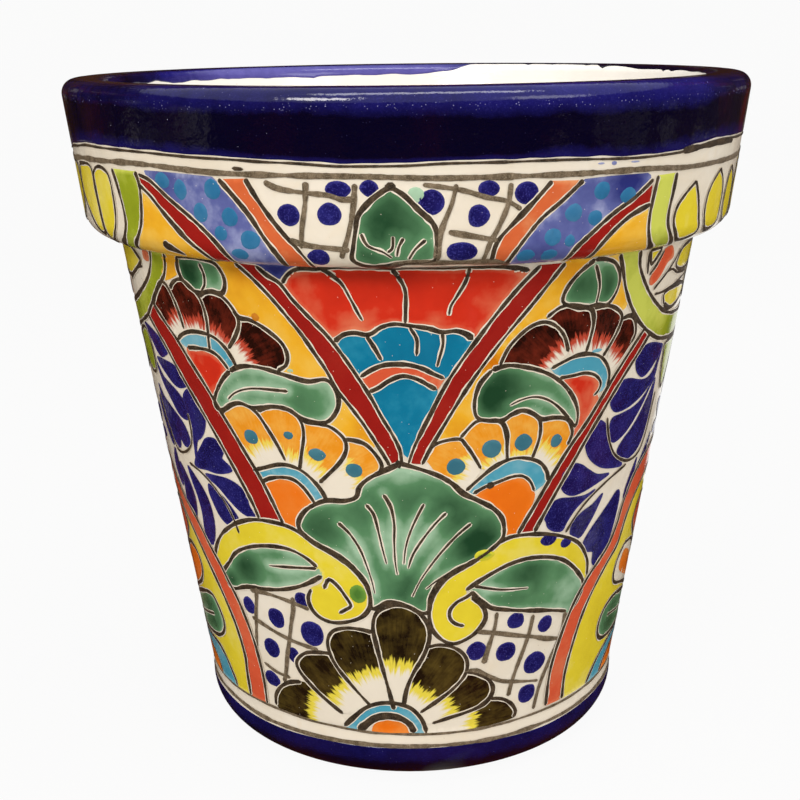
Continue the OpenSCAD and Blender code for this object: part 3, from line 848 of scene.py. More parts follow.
yellow_right = [
    [(27.4, 237), (31.4, 237.4), (33.6, 236.8), (30.6, 232.2), (28.2, 226.4), (27.7, 221.5), (26, 217),
     (24.6, 215.2), (21.8, 212.6), (19.6, 209.2), (17.6, 203.8), (16.3, 197.6), (14.8, 195.6), (13, 190.4),
     (11.2, 191.2), (13.9, 200), (17.4, 210.3), (21.3, 220.5), (24.8, 230)],
    [(11, 190.6), (12.9, 190.4), (12.1, 184), (12.3, 178.4), (13, 175.2), (10.8, 170.8), (9.2, 167.6),
     (6, 166.9), (4.4, 165.4), (5.6, 170.2), (8.1, 180)],
    [(36, 236.6), (40, 236.8), (41, 230), (42.2, 223.6), (43.4, 218.4), (43.4, 214.6), (41.6, 214),
     (38, 217.2), (39.8, 221), (40.5, 226), (40, 230.6), (38.4, 234.4)]]
# The first two pools make the yellow darker and more orange at its top, right under the collar.
pot_fields(
    "yellow_panels", ["yellow_panels"], yellow_enamel, yellow_left + yellow_right,
    pools=[(-29, 235, 12, 0.5), (30, 234, 12, 0.5), (15, 199, 8, 1.2), (-9, 172, 9, 0.4), (9, 172, 9, 0.4)])
small_leaf_left = [
    (-44.6, 237.4), (-45, 232), (-44, 227.4), (-41.8, 224.2), (-39.4, 223.6), (-37, 225), (-34.4, 224.6),
    (-33.3, 228.5), (-33.6, 233), (-35.4, 237.2), (-39.5, 238.2)]
small_leaf_right = [
    (33.7, 237), (30.6, 232.4), (28.4, 227), (27.7, 221.6), (29.6, 219), (32.4, 217.5), (35.4, 218),
    (38, 217.2), (39.8, 221), (40.5, 226), (40, 230.6), (38.4, 234.6), (35.8, 236.6)]
small_leaf_veins = [
    [(-38.8, 236), (-38, 231.5), (-38.3, 227), (-39.5, 224.2)],
    [(34, 234.8), (35, 230), (35.6, 225), (35.3, 218.4)]]
pot_fields(
    "small_leaves", ["small_leaves"], green_enamel, [small_leaf_left, small_leaf_right],
    pools=[(-42, 231, 13, 1.1), (-36, 235, 8, 0.3), (37, 226, 12, 0.8), (31, 228, 12, 0.7)],
    veins=small_leaf_veins, cut=leaf_cut)


def closed(points):
    """Points that come back to their start."""
    return points + [points[0]]


fan_corners = [[
    (-25.9, 238.2), (-24.2, 235.2), (-21.8, 232.6), (-20.9, 234.8), (-19.6, 236.9), (-17.6, 238.4)]]
violet_enamel = enamel("violet_enamel", "#6067a0", "#a0a5ca", "#2c3276", speck=0.6, spread=1.3, mottle=0.8)
pot_fields("fan_corners", [], violet_enamel, fan_corners, pools=[(-22, 236, 16, 1.0)])
outlines("small_leaf_outlines", [closed(small_leaf_left), closed(small_leaf_right)]
         + [(vein, 1.4, 0.7) for vein in small_leaf_veins])

# Upper flowers: dark petals brushed outwards over red, so that their colour frays into flames at the root.
# A turquoise arc and a red half disc close each flower.


def brushed_petal(name, body, streaks, fringe, fringe_length):
    """A petal colour that breaks up in strokes towards the middle, over a second, shorter colour."""
    f = Finish(name)
    uv = f.node("UVMap", {"uv_map": "flame"}, {}, "UV")
    bristles = f.node("Mapping", {}, {"Vector": uv, "Scale": (0.55, 0.05, 1.0)}, "Vector")
    hairs = f.node("Mapping", {}, {"Vector": uv, "Scale": (1.3, 0.09, 1.0)}, "Vector")
    coarse = f.clouds(1.0, 2, bristles)
    fine = f.clouds(1.0, 2, hairs)
    out = f.node("SeparateXYZ", {}, {"Vector": uv}, "Y")
    grain = f.clouds(1500, 2)
    cloud = f.clouds(130, 4)
    ragged = out + 13 * (coarse - 0.5) + 5 * (fine - 0.5)
    colour = f.mix((0.35 * fine + 1.1 * cloud).within(0.6, 0.95), body, streaks)
    under = f.mix((ragged + fringe_length).within(-1.4, 1.4), white_ground, fringe)
    colour = f.mix(ragged.within(-0.5, 1.2), under, colour)
    colour = f.mix(0.8 * f.specks(430, 0.09, 0.3), colour, white_ground)
    return f.surface(colour, 0.09 + 0.12 * grain, cloud + 0.4 * fine + 0.1 * grain, 0.0002, gloss)


def petals(name, node, material, centre, entries):
    """Petals of one flower: the drawn line of each, the points that close its root, its flames' reach."""
    fields = [([line, root], reach) for line, root, reach in entries]
    return pot_fields(name, node, material, fields, centre=centre)


maroon_left = [
    ([(-57.2, 212.7), (-54.2, 220.8), (-52, 224.6), (-49.9, 223.8), (-48.2, 218), (-47.2, 212),
      (-46.6, 206.2)],
     [(-46.6, 206.2), (-48.5, 203.2), (-50.5, 203.2), (-54.5, 209), (-57.2, 212.7)],
     32),
    ([(-48.8, 222.8), (-47.2, 226), (-44.8, 227.8), (-42.4, 225.6), (-40.4, 222), (-39.5, 217),
      (-39.3, 211), (-39.6, 204)],
     [(-39.6, 204), (-43, 205.8), (-46.5, 205.5), (-47.2, 212), (-48.2, 218), (-48.8, 222.8)],
     26.5),
    ([(-40.2, 221.8), (-37.6, 224.6), (-34.6, 223.5), (-32.4, 219), (-31.4, 213.5), (-32.6, 207.5),
      (-34.8, 201.5)],
     [(-34.8, 201.5), (-36.5, 203.8), (-39, 205.4), (-39.4, 211), (-39.5, 217), (-40.2, 221.8)],
     25.5),
    ([(-32.4, 218.8), (-31.2, 215.4), (-28.8, 214.9), (-25.8, 211.8), (-23, 207), (-22, 202),
      (-22.5, 197.5), (-24.4, 194.8)],
     [(-24.4, 194.8), (-29, 194.8), (-33.5, 194.8), (-34.6, 199.5), (-32.9, 206.8), (-31.5, 213),
      (-32.4, 218.8)],
     30)]
maroon_right = [
    ([(16.4, 197.6), (17.8, 204.5), (20, 209.8), (22.2, 213), (24.6, 213.8), (27, 211.4), (29, 206.5),
      (30.2, 200)],
     [(30.2, 200), (27.5, 195.2), (24, 194.6), (20, 196.2), (16.4, 197.6)],
     30),
    ([(24.8, 215.6), (27.2, 219), (29.6, 219.6), (32, 218.2), (34.4, 216.4), (35.3, 211), (35, 204),
      (34.4, 198.4)],
     [(34.4, 198.4), (31.5, 198), (30.2, 200.5), (29, 206.5), (27.2, 211.5), (24.8, 215.6)],
     27),
    ([(35, 216.8), (38.4, 216.8), (41.4, 214), (42.8, 210.5), (42.2, 205.5), (40.8, 200.4), (39, 195.2)],
     [(39, 195.2), (37, 197), (34.6, 198.5), (35, 205), (35.3, 211), (35, 216.8)],
     24.5),
    ([(42.9, 209.8), (45.5, 210.3), (47.3, 207), (48.1, 201.5), (47, 197.8)],
     [(47, 197.8), (44, 191.5), (41.6, 189.5), (40.5, 193), (41.2, 201), (42.2, 206), (42.9, 209.8)],
     23.5)]
maroon_enamel = brushed_petal("maroon_enamel", "#260d08", "#6a2315", "#c24a34", 3.6)
petals("maroon_petals_left", ["maroon_petals"], maroon_enamel, (-41.5, 186), maroon_left)
petals("maroon_petals_right", ["maroon_petals"], maroon_enamel, (36, 180), maroon_right)
upper_arc_left = (
    [(-49.6, 200.4), (-47.6, 203.4), (-44.6, 205.7), (-41, 206.3), (-38, 205.2), (-35.6, 201.6),
     (-34, 196.5), (-33.6, 193.9)],
    [(-46.6, 198), (-43.6, 198.9), (-40.2, 199.1), (-38, 197.6), (-36.4, 194.4), (-35.6, 192.2)])
upper_arc_right = (
    [(26.9, 194), (29.6, 196.2), (32.4, 197.8), (35.4, 197.5), (38.4, 195.2), (40.6, 190.8), (41.7, 186),
     (41.6, 181)],
    [(28.9, 189.2), (32, 189.3), (35, 189.4), (37.8, 187.3), (39.5, 183.4), (39, 180), (38, 178.6)])
sky_enamel = enamel("sky_enamel", "#4f9fb5", "#93c1ca", "#348ca8")
pot_fields("upper_arcs", ["upper_arcs"], sky_enamel,
           [band(*upper_arc_left), band(*upper_arc_right)], pools=[(-42, 202, 26, -0.15)])
red_disc_left = [
    (-46.8, 197.6), (-43.4, 198.6), (-40.2, 198.8), (-38.2, 197), (-36.2, 192.6), (-37.6, 188),
    (-39.4, 183), (-41, 179.2), (-42.2, 180.2), (-44.2, 186), (-46, 191.5)]
red_disc_right = [
    (30.2, 188.6), (33.4, 189), (36, 188.4), (38.2, 186), (39.2, 182.6), (38.6, 178.6), (39.4, 176.8),
    (37.8, 171.5), (35.6, 164.6), (34.2, 160.4), (34, 165), (34.6, 171), (33.8, 177), (32, 183.4)]
pot_fields("red_discs", ["red_discs"], red_enamel, [red_disc_left, red_disc_right])
outlines("upper_flower_outlines", [line for line, root, reach in maroon_left + maroon_right]
         + [(line, 1.6) for line in upper_arc_left + upper_arc_right]
         + [([(-39.6, 206), (-39.8, 199.3)], 1.4)], width=1.7)

# Long leaves: one curled green leaf below each upper flower, with a single vein.
# The green glaze is floated on in one go, so it ends up dark where it ran together and pale elsewhere.
long_leaf_left = [
    (-35.4, 191.6), (-33, 194.2), (-30, 195.3), (-26.5, 194.8), (-22.5, 193), (-18.5, 191.4), (-15, 192.6),
    (-13.2, 188.4), (-12.9, 182.5), (-14, 177.4), (-15.6, 174.4), (-18, 174), (-20.6, 175.4), (-23, 178.4),
    (-26, 179), (-29.4, 177.6), (-31.4, 177.2), (-34, 178.2), (-36.4, 176.6), (-38.6, 173.8),
    (-40.6, 173.4), (-41, 176.6), (-39.8, 181.4), (-37.6, 187.4)]
long_leaf_right = [
    (15, 196), (18, 197.3), (21.5, 195.8), (25, 193.2), (28.4, 189), (31.4, 183.2), (33.6, 176.6),
    (34.5, 170.8), (34.1, 166.5), (32.2, 170.2), (29.4, 172.2), (26, 172.4), (24, 175.3), (21.8, 177.4),
    (19.6, 176.4), (17.5, 174.2), (14.8, 174.6), (12.6, 176.4), (12, 182.5), (12.8, 190.2)]
long_leaf_veins = [
    [(-22.7, 186.4), (-29, 186), (-32.5, 184.6), (-35.2, 182), (-37, 178.8)],
    [(32.4, 170.4), (29, 177.4), (26.2, 181.2), (23.6, 182.7), (21, 182), (18.9, 180.2)]]
pot_fields(
    "long_leaves", ["long_leaves"], green_enamel, [long_leaf_left, long_leaf_right],
    pools=[
        (-26, 185, 50, -0.08), (-20, 181, 13, 0.35), (16.5, 187, 19, 1.0), (14, 182, 10, 0.4),
        (28, 180, 15, 0.05)],
    veins=long_leaf_veins, cut=leaf_cut)
outlines("long_leaf_outlines", [closed(long_leaf_left), closed(long_leaf_right)]
         + [(vein, 1.3, 0.5) for vein in long_leaf_veins])

# Lower flowers: orange petals with a blue spot on each, about a turquoise arc and an orange half disc.
# The orange is pulled outwards with a drying brush, so it frays through yellow to white at the root.
orange_left = [
    ([(-39.6, 171.5), (-38, 174.6), (-35, 177.8), (-32.2, 177.4), (-30.2, 175), (-28.4, 169.5),
      (-26.5, 162.5), (-25, 155.5)],
     [(-25, 155.5), (-27.5, 152.4), (-31.5, 150), (-34, 156), (-37, 164.5), (-39.6, 171.5)],
     26),
    ([(-30, 176), (-27.5, 178.2), (-24.4, 179), (-22, 177.4), (-20.6, 173.5), (-20.4, 167.5), (-21.2, 160),
      (-22, 152.5)],
     [(-22, 152.5), (-24.5, 153.5), (-25.6, 158.5), (-27.3, 165.5), (-28.8, 171.5), (-30, 176)],
     22.5),
    ([(-21.5, 176.4), (-19.8, 174), (-17, 173.5), (-14.6, 172.2), (-12.4, 168), (-12, 163.5), (-13, 158.5),
      (-15, 153.6), (-18, 147.3)],
     [(-18, 147.3), (-19.5, 148.5), (-21.6, 151.8), (-21.2, 159.5), (-20.5, 167.5), (-21.5, 176.4)],
     25),
    ([(-12.2, 167.5), (-10.4, 167.2), (-8.2, 165.6), (-6.2, 160.8), (-5.3, 156.5), (-5.8, 153.4)],
     [(-5.8, 153.4), (-8.6, 149), (-10.2, 144.5), (-11, 141), (-16.4, 140.4), (-17.4, 144.5), (-15, 153),
      (-13, 158.4), (-12, 163.6), (-12.2, 167.5)],
     36.5)]
orange_right = [
    ([(3, 160), (4.2, 164.6), (6.2, 166.8), (9.4, 167.5), (10.6, 165), (12.2, 160), (13.9, 153.7)],
     [(13.9, 153.7), (12.5, 149), (10.8, 144.6), (8.6, 148), (5.6, 152.6), (3, 160)],
     30),
    ([(9.6, 168), (12.4, 174.4), (14.8, 174.6), (17.4, 173.5), (18.7, 168), (19, 161), (19.2, 156.4)],
     [(19.2, 156.4), (16.3, 154.5), (14, 154), (12.4, 160), (9.6, 168)],
     22.3),
    ([(17.6, 173.4), (19.8, 176.6), (21.8, 177.2), (23.8, 175.4), (25.5, 172), (25.9, 166), (25.4, 160.5),
      (24.6, 155.6)],
     [(24.6, 155.6), (22, 156.8), (19.4, 156.6), (19, 162), (18.7, 168), (17.6, 173.4)],
     19),
    ([(25.4, 172.3), (28.8, 172.2), (31.8, 170.4), (33.2, 166.5), (33.6, 163), (32.8, 158.6)],
     [(32.8, 158.6), (31.6, 152), (29, 147), (27.2, 152), (24.9, 155.4), (25.5, 161), (25.9, 166),
      (25.4, 172.3)],
     23.3)]
orange_flame = brushed_petal("orange_flame", "#ee951e", "#f2ae48", "#f2d55a", 3.2)
petals("orange_petals_left", ["orange_petals"], orange_flame, (-26, 138), orange_left)
petals("orange_petals_right", ["orange_petals"], orange_flame, (22, 141), orange_right)


def spot(degrees, z, half_width, half_height, tilt=0.0):
    """A dabbed oval: half width in degrees, half height in millimetres, tilt in degrees."""
    scale = math.radians(outer_point(z)[0])
    turn = math.radians(tilt)
    points = []
    for i in range(8):
        uneven = 1 + 0.15 * noise.noise(Vector((degrees, z, 1.7 * i)))
        x = half_width * scale * math.cos(i * math.pi / 4) * uneven
        y = half_height * math.sin(i * math.pi / 4) * uneven
        points.append((degrees + (x * math.cos(turn) - y * math.sin(turn)) / scale,
                       z + x * math.sin(turn) + y * math.cos(turn)))
    return points


def spots(entries):
    """Dabbed ovals, one for each entry."""
    return [spot(*entry) for entry in entries]


dab_lift = 0.15
petal_spots = [
    (-32.5, 163.8, 1.7, 3.3), (-23.7, 167, 1.1, 1.9), (-18, 159.8, 1.8, 2.8), (-10.7, 154, 1.7, 3.1),
    (8.9, 155.4, 1.8, 3.7), (15.9, 162.2, 2, 4.1), (22.3, 163.3, 1.9, 3.7), (29.9, 161.6, 1.3, 3)]
spot_enamel = enamel("spot_enamel", "#3a6f80", "#5f939c", "#2a5c70", fall=0.1)
pot_fields("petal_spots", [], spot_enamel, spots(petal_spots), raised=dab_lift)
lower_arc_left = (
    [(-33.2, 148.5), (-30, 150.9), (-26.8, 153.2), (-24, 153.5), (-21.2, 151.4), (-18.7, 146.6),
     (-17.2, 141.6), (-16.8, 138.6)],
    [(-31.4, 143.8), (-29.2, 146.2), (-26.4, 147.6), (-23.8, 147.4), (-21.8, 144.6), (-20.2, 140.2),
     (-19.2, 136.6)])
lower_arc_right = (
    [(11.1, 144.4), (13.4, 148.8), (16.3, 153.6), (19.4, 156.4), (22.6, 156.4), (26.2, 153.6),
     (28.3, 148.8), (29, 144)],
    [(12.6, 142.8), (15, 145.4), (17.4, 146.8), (20.4, 148.5), (22.8, 148.2), (24.7, 145.2), (25.9, 140.4)])
pot_fields("lower_arcs", ["lower_arcs"], sky_enamel,
           [band(*lower_arc_left), band(*lower_arc_right)])
orange_disc_left = [
    (-31.4, 143.6), (-29.2, 145.9), (-26.2, 147.2), (-23.8, 147), (-21.9, 144), (-20.4, 139.8),
    (-19.8, 137), (-21.6, 134.2), (-23.2, 129.4), (-23.9, 125.4), (-27.4, 125.4), (-28.6, 129.4),
    (-30, 136)]
orange_disc_right = [
    (12.9, 142.8), (15.2, 145), (17.6, 146.4), (20.4, 148), (22.8, 147.6), (24.5, 144.8), (25.7, 140),
    (26, 137), (24.6, 129), (22.8, 121.6), (20.2, 121.2), (19.7, 125.4), (18.8, 131.4), (16.4, 136.6)]
orange_enamel = enamel("orange_enamel", "#f07517", "#f08c3c", "#dc590b", shore=3.0)
pot_fields(
    "orange_discs", ["orange_discs"], orange_enamel, [orange_disc_left, orange_disc_right])
outlines("lower_flower_outlines", [line for line, root, reach in orange_left + orange_right]
         + [(line, 1.6) for line in lower_arc_left + lower_arc_right], width=1.6)

# Outer stripes: the dark red borders that close the front panel on both sides.
# Each is one long pull of the brush between two lines, in the same red glaze as the stripes of the fan.
outer_left = (
    [(-57.2, 213.2), (-53.6, 207), (-50, 200.6), (-46.8, 192.6), (-44, 185.5), (-41.5, 178.4), (-39.2, 171),
     (-37, 164), (-34.5, 155.5), (-32, 147), (-30, 138.4), (-28, 128.6), (-27.4, 125.8)],
    [(-61.6, 206.6), (-56, 196.4), (-52.6, 188.2), (-49.4, 180), (-46.5, 172.4), (-43.9, 165),
     (-41.2, 156.4), (-38.8, 148), (-36.5, 139.5), (-34.7, 132), (-33.6, 125.8)])
outer_right = (
    [(51.6, 203), (48.5, 197), (45.2, 189.6), (42.4, 182.5), (39.6, 174.2), (37, 166.6), (34, 159),
     (31.5, 151.5), (29, 143), (26.5, 134), (24.6, 127.4), (23, 121.4)],
    [(54.4, 199.8), (51, 193), (47.2, 185), (43.9, 177), (41.2, 169.5), (38, 160), (35, 150), (32.5, 141.5),
     (30, 132.5), (28, 125), (27, 121)])
pot_fields(
    "outer_stripes", ["outer_stripes"], dark_red_enamel,
    [band(*outer_left), band(*outer_right)])
outlines("outer_stripe_outlines", [*outer_left, *outer_right])

# Feathers: single strokes of a loaded round brush in cobalt, pressed at the head and lifted at the tail.
# They carry no outline, and grey stems are drawn between them.
feather_left = [
    [(-66.5, 201), (-62, 200.5), (-57, 197), (-54.8, 193.5), (-56.5, 190.8), (-59, 189), (-61, 190.5),
     (-63, 194.5)],
    [(-62, 187), (-57, 187.8), (-53, 187), (-50.5, 183), (-49.8, 180), (-52, 178), (-54.5, 177.8),
     (-57.5, 180.5)],
    [(-63.4, 184.6), (-60.6, 179.4), (-58.2, 177.6), (-55, 175.5), (-52, 171.5), (-51, 167.5), (-51.5, 164),
     (-53.5, 163), (-56, 164.5), (-58.5, 169.5), (-61.8, 176.6)],
    [(-52.3, 172.5), (-51, 176.5), (-48.8, 178.5), (-47, 176), (-45.5, 171), (-45.2, 166.5), (-46.3, 161),
     (-48, 157), (-50, 154), (-52, 144), (-51.3, 155), (-51, 160.5), (-51.3, 166)],
    [(-66, 173), (-63.4, 168.8), (-60, 166), (-56.8, 163), (-54.2, 159.4), (-53, 153.6), (-54.2, 149.6),
     (-56.4, 149.2), (-57.8, 151.5), (-58.6, 148), (-59.8, 146.2), (-61.6, 148.4), (-63.2, 153.6),
     (-64.7, 160.6)],
    [(-48, 154), (-46, 157.5), (-43.5, 158.5), (-41.8, 156.5), (-41.2, 153), (-42, 150.3), (-40, 147.5),
     (-39.3, 146), (-41, 144), (-44.5, 142.2), (-48, 142), (-53, 142)],
    [(-49, 139.5), (-45, 140.5), (-41, 140.8), (-38, 139), (-36.3, 135.5), (-36, 131), (-34.7, 126),
     (-36.5, 125.5), (-39, 127), (-42, 131), (-45, 135.5), (-48, 138)],
    [(-48.5, 135), (-46.5, 133.5), (-43.8, 131), (-41.5, 127), (-40, 122.8), (-41.5, 120.5), (-43, 118.5),
     (-44.5, 118.3), (-46.5, 121), (-48, 126), (-49, 131)],
    [(-57, 139), (-54, 135.5), (-51, 130), (-49.5, 123), (-49.5, 114), (-51, 106), (-52.5, 103.5),
     (-54.3, 105), (-54.8, 110), (-54.3, 118), (-55, 126), (-56.5, 133)],
    [(-62, 138), (-58.5, 132.5), (-56.7, 125), (-57, 118), (-58.5, 112.8), (-60.5, 115), (-62.5, 120),
     (-62, 127)],
    [(-63.6, 144), (-62.9, 139.6), (-62.7, 132.8), (-63.1, 126), (-65, 127.8), (-66.2, 133.2),
     (-65.6, 139)],
    [(-67.6, 167), (-66.8, 160), (-65.2, 153.6), (-63.7, 148), (-63.5, 145.6), (-64.8, 145.8), (-66.4, 150),
     (-67.9, 157), (-68.4, 162.6)]]
feather_right = [
    [(50.3, 188.5), (51, 192), (53, 194), (56, 194), (60, 192), (63, 189.5), (60, 184.5), (57, 181),
     (54.5, 179.8), (52.5, 181.5), (51, 184.5)],
    [(43.6, 173.5), (44.8, 178), (46.6, 181.3), (49.2, 181.1), (52.3, 179.2), (55.3, 177.9), (58.1, 178.4),
     (60.1, 181.2), (61.2, 185), (62.9, 190.2), (62.5, 185.4), (61.4, 179.8), (59.3, 174.6), (56.3, 171.4),
     (53, 169.2), (49.6, 167.8), (46.2, 167.8), (44.4, 170)],
    [(45, 165.1), (48, 165.8), (52.4, 166.6), (55.8, 168.6), (58.9, 172.4), (60.7, 176.8), (61.9, 181.6),
     (61.3, 176), (59.3, 171.8), (57.5, 167.4), (55.1, 162.6), (52.8, 158.6), (50.4, 155.4), (47.2, 153.5),
     (45.6, 155.5), (44.7, 160)],
    [(37.8, 159), (39.5, 164.5), (41, 166), (43, 163.5), (45, 158), (46, 152), (48.5, 146.5), (52, 140.5),
     (48.5, 141), (44, 143.5), (40.5, 148), (38.5, 153)],
    [(48.9, 148.6), (50.8, 153), (53.8, 156.8), (56.4, 161.4), (58.7, 166.4), (60.6, 170.8), (62.1, 175.4),
     (62.6, 167.6), (62.5, 160.4), (61.9, 153.6), (61, 148.4), (59.4, 144.8), (57, 142.8), (54, 142.3),
     (51, 144.5)],
    [(32.2, 142), (33, 146.5), (35, 149), (37.5, 147.5), (40, 144), (43, 140.5), (47, 139), (47.2, 138.5),
     (43, 136.3), (39, 134.5), (36, 134.3), (33.5, 137)],
    [(29, 128), (30, 132), (32.5, 134), (36, 133), (40, 132.3), (43, 133.5), (40, 130.5), (37.5, 127),
     (35.5, 122), (34.5, 118.5), (32.5, 119), (30.5, 121.5), (29.8, 124.5)],
    [(37.5, 121), (40, 124.5), (43, 126.5), (46, 130), (44.5, 123), (42.5, 117), (40.5, 112.5), (38.5, 113),
     (37, 116)],
    [(41.8, 108.5), (43.5, 113.5), (46.5, 119), (49.5, 124), (52, 128), (53.5, 126), (53.8, 120),
     (53.3, 112), (52.5, 105.5), (51, 99.5), (49, 95), (47.5, 94.5), (46.3, 97), (46, 102), (44.5, 103),
     (42.7, 104.5)],
    [(56, 122.5), (56.5, 128), (58.5, 135.5), (60, 139), (59.5, 130), (58.5, 124), (57, 121)],
    [(61, 133), (64, 140), (67, 146), (68, 146), (66, 138), (63, 132)]]


def brushed_cobalt(name):
    """Cobalt laid with one stroke: deep blue in the middle, thin and violet along the edges."""
    f = Finish(name)
    depth = f.attribute("depth")
    cloud = f.clouds(120, 4)
    streak = f.clouds(500, 3)
    grain = f.clouds(1500, 2)
    colour = f.mix(cloud.within(0.4, 0.7), "#120f4c", "#222169")
    colour = f.mix(0.6 * (0.7 - depth + 1.2 * streak).within(0.3, 1.3), colour, "#43418c")
    colour = f.mix(0.45 * grain.within(0.52, 0.68), colour, "#4a48a4")
    colour = f.mix(0.7 * f.specks(430, 0.1, 0.3), colour, "#a9a6cf")
    return f.surface(colour, 0.08 + 0.12 * grain, cloud + 0.2 * streak, 0.0003, gloss)


stroke_cobalt = brushed_cobalt("stroke_cobalt")
pot_fields("feathers", ["feathers"], stroke_cobalt, feather_left + feather_right)
outlines("feather_stems", [
    [(-51.5, 166.5), (-51.5, 159), (-52.5, 152), (-55.5, 147), (-59, 144.5), (-61.4, 145.2), (-62.6, 148.4),
     (-64.2, 153.8), (-65.7, 160.6), (-66.6, 169)],
    [(-55.5, 141.3), (-51, 139.5), (-47, 135.5), (-43.5, 129), (-41.5, 122), (-40.5, 115.5)],
    [(43.2, 166.5), (44, 161), (45.5, 154), (48, 147.5), (51.5, 143), (55, 140.8), (58.8, 141), (61.4, 144),
     (63, 151), (63.7, 160), (64.2, 168)],
    [(54, 139.5), (49, 137), (45, 134), (41, 129.5), (38, 124), (35.5, 117)]], width=1.3, halo=0.2)

# Shell leaf: the wide green leaf in the middle of the front, under the tip of the fan.
# Its veins are drawn with a fine brush before the green glaze goes on, which thins beside each of them.
shell_leaf = [
    (-1.7, 157.6), (-5, 154.2), (-8, 150.6), (-9.9, 146.6), (-10.7, 142), (-13.2, 140), (-16.6, 139.6),
    (-19.2, 137.4), (-21.8, 133.6), (-23.5, 128.6), (-23.6, 124.6), (-21.9, 121.2), (-18.8, 117.6),
    (-15, 114), (-12, 108.6), (-9.8, 102.6), (-8.9, 96), (-8.7, 90), (-7.2, 90.6), (-5, 93.2), (-2.4, 92.8),
    (0, 90.6), (2.2, 88), (3.9, 88.6), (4.3, 93.4), (5.4, 98.6), (7.6, 104), (11, 108.6), (14.4, 112.4),
    (17.4, 116.4), (19.5, 120.6), (19.7, 125.4), (18.9, 130.6), (16.8, 135.4), (13.6, 139.6), (10.6, 143.2),
    (8.4, 147.8), (5.6, 151.8), (2, 155)]
shell_veins = [
    [(-14.8, 129.8), (-12.5, 125), (-10.5, 118), (-9.2, 110), (-8.3, 103), (-7.8, 97)],
    [(-8.8, 139), (-7.3, 134.5), (-6.5, 127), (-5.8, 119), (-5, 111.5)],
    [(-5.2, 143.7), (-3.8, 138), (-3.2, 130), (-3.3, 122), (-3.2, 113), (-2.8, 106.5)],
    [(2.8, 139.5), (1.5, 134), (0, 126.5), (-1, 119), (-1.4, 111.5)],
    [(7.3, 135), (5, 130), (2.5, 123), (0.5, 116), (-0.5, 109.5)],
    [(12.5, 129.3), (9.5, 124), (6.5, 117), (4, 110), (2, 103.5), (0.3, 96)],
    [(14, 111.3), (10, 108.5), (6, 104), (3.2, 99.5)]]
pot_fields(
    "shell_leaf", ["shell_leaf"], green_enamel, [shell_leaf],
    pools=[
        (-2, 118, 60, 0.05), (-19, 127, 16, 0.75), (14, 120, 18, 1.1), (9, 136, 14, 0.55),
        (-9, 137, 12, 0.4), (-1, 143, 13, 0.45), (0, 98, 16, 0.7), (-12, 118, 11, -0.2),
        (-5, 126, 13, -0.2), (4, 124, 12, -0.15), (-1, 153, 12, -0.4)],
    veins=shell_veins, cut=leaf_cut)
outlines("shell_leaf_outlines", [(closed(shell_leaf), 2.0)] + [(vein, 1.35, 0.4) for vein in shell_veins])

# Scrolls: two lemon coils under the shell leaf, each holding a green leaf.
# Coil and leaf share a drawn line. The lemon glaze lies even in the coil, and the green runs in the leaf.
scroll_left = [
    (-51.8, 98.6), (-50.2, 104.4), (-47.4, 111), (-44, 116.4), (-40, 121.2), (-35, 124.8), (-29, 125.6),
    (-24.6, 123.8), (-20.6, 118.8), (-16, 114), (-12.4, 108.6), (-9.9, 102), (-8.9, 95.4), (-9.2, 89.8),
    (-11, 85.4), (-14, 82.6), (-17.6, 81.2), (-20.8, 82.6), (-22.8, 86.4), (-23.4, 91.6), (-22.4, 96.4),
    (-20.6, 98.6), (-19.2, 101.2), (-19.4, 104.8), (-21.6, 109), (-24.4, 112.6), (-28, 114.2), (-32, 113.6),
    (-36, 111.6), (-39.8, 108.6), (-43.2, 104.2), (-46.2, 98.2), (-49, 93.2), (-51, 95)]
scroll_right = [
    (45, 91.2), (44.4, 98), (42.5, 104.4), (40, 109.8), (36.5, 114), (32, 117.6), (27, 120), (22, 120.7),
    (18.6, 119), (15.8, 115), (12.4, 110.4), (9, 107), (6.4, 103), (4.7, 97), (4, 90), (4.1, 84.4),
    (4.9, 79), (7, 74.2), (9.6, 71.9), (12.2, 73.2), (14.9, 76.6), (16.8, 82), (16.6, 87), (15.2, 91),
    (13.4, 93.4), (12.2, 95.6), (12.6, 98.6), (15, 101.6), (18.2, 105), (22, 107.8), (26.2, 108.8),
    (31, 107.4), (35.4, 104.2), (39, 99.2), (42, 93.4), (43.8, 88.6)]
lemon_enamel = enamel("lemon_enamel", "#e9d235", "#efe084", "#cfb01c", spread=1.2)
pot_fields("scrolls", ["scrolls"], lemon_enamel, [scroll_left, scroll_right])
scroll_leaf_left = [
    (-49, 92.6), (-46.2, 98), (-43.2, 104.2), (-39.8, 108.6), (-36, 111.6), (-32, 113.6), (-28, 114.2),
    (-24.4, 112.6), (-21.6, 109), (-19.6, 105), (-19.6, 103), (-22.4, 99.4), (-25.6, 96.2), (-30, 93.2),
    (-35, 91.2), (-38.8, 90.2), (-42.2, 88.2), (-46, 85.2), (-48.4, 86.6), (-49.4, 89.6)]
scroll_leaf_right = [
    (12.6, 98.2), (15, 101.4), (18.2, 104.8), (22, 107.6), (26.2, 108.6), (31, 107.2), (35.4, 104),
    (39, 99), (42, 93.2), (43.8, 88.4), (44, 84.4), (42.6, 79.4), (40.4, 75.8), (38.6, 76.8), (35, 79.4),
    (31, 81.4), (26.4, 83.4), (21.8, 85.4), (18, 87.6), (16, 91)]
scroll_leaf_veins = [
    [(-20.6, 106.8), (-24, 106), (-28, 105), (-32.8, 103.7)],
    [(13.8, 99.5), (17, 97.5), (21, 95.6), (27, 94.2)]]
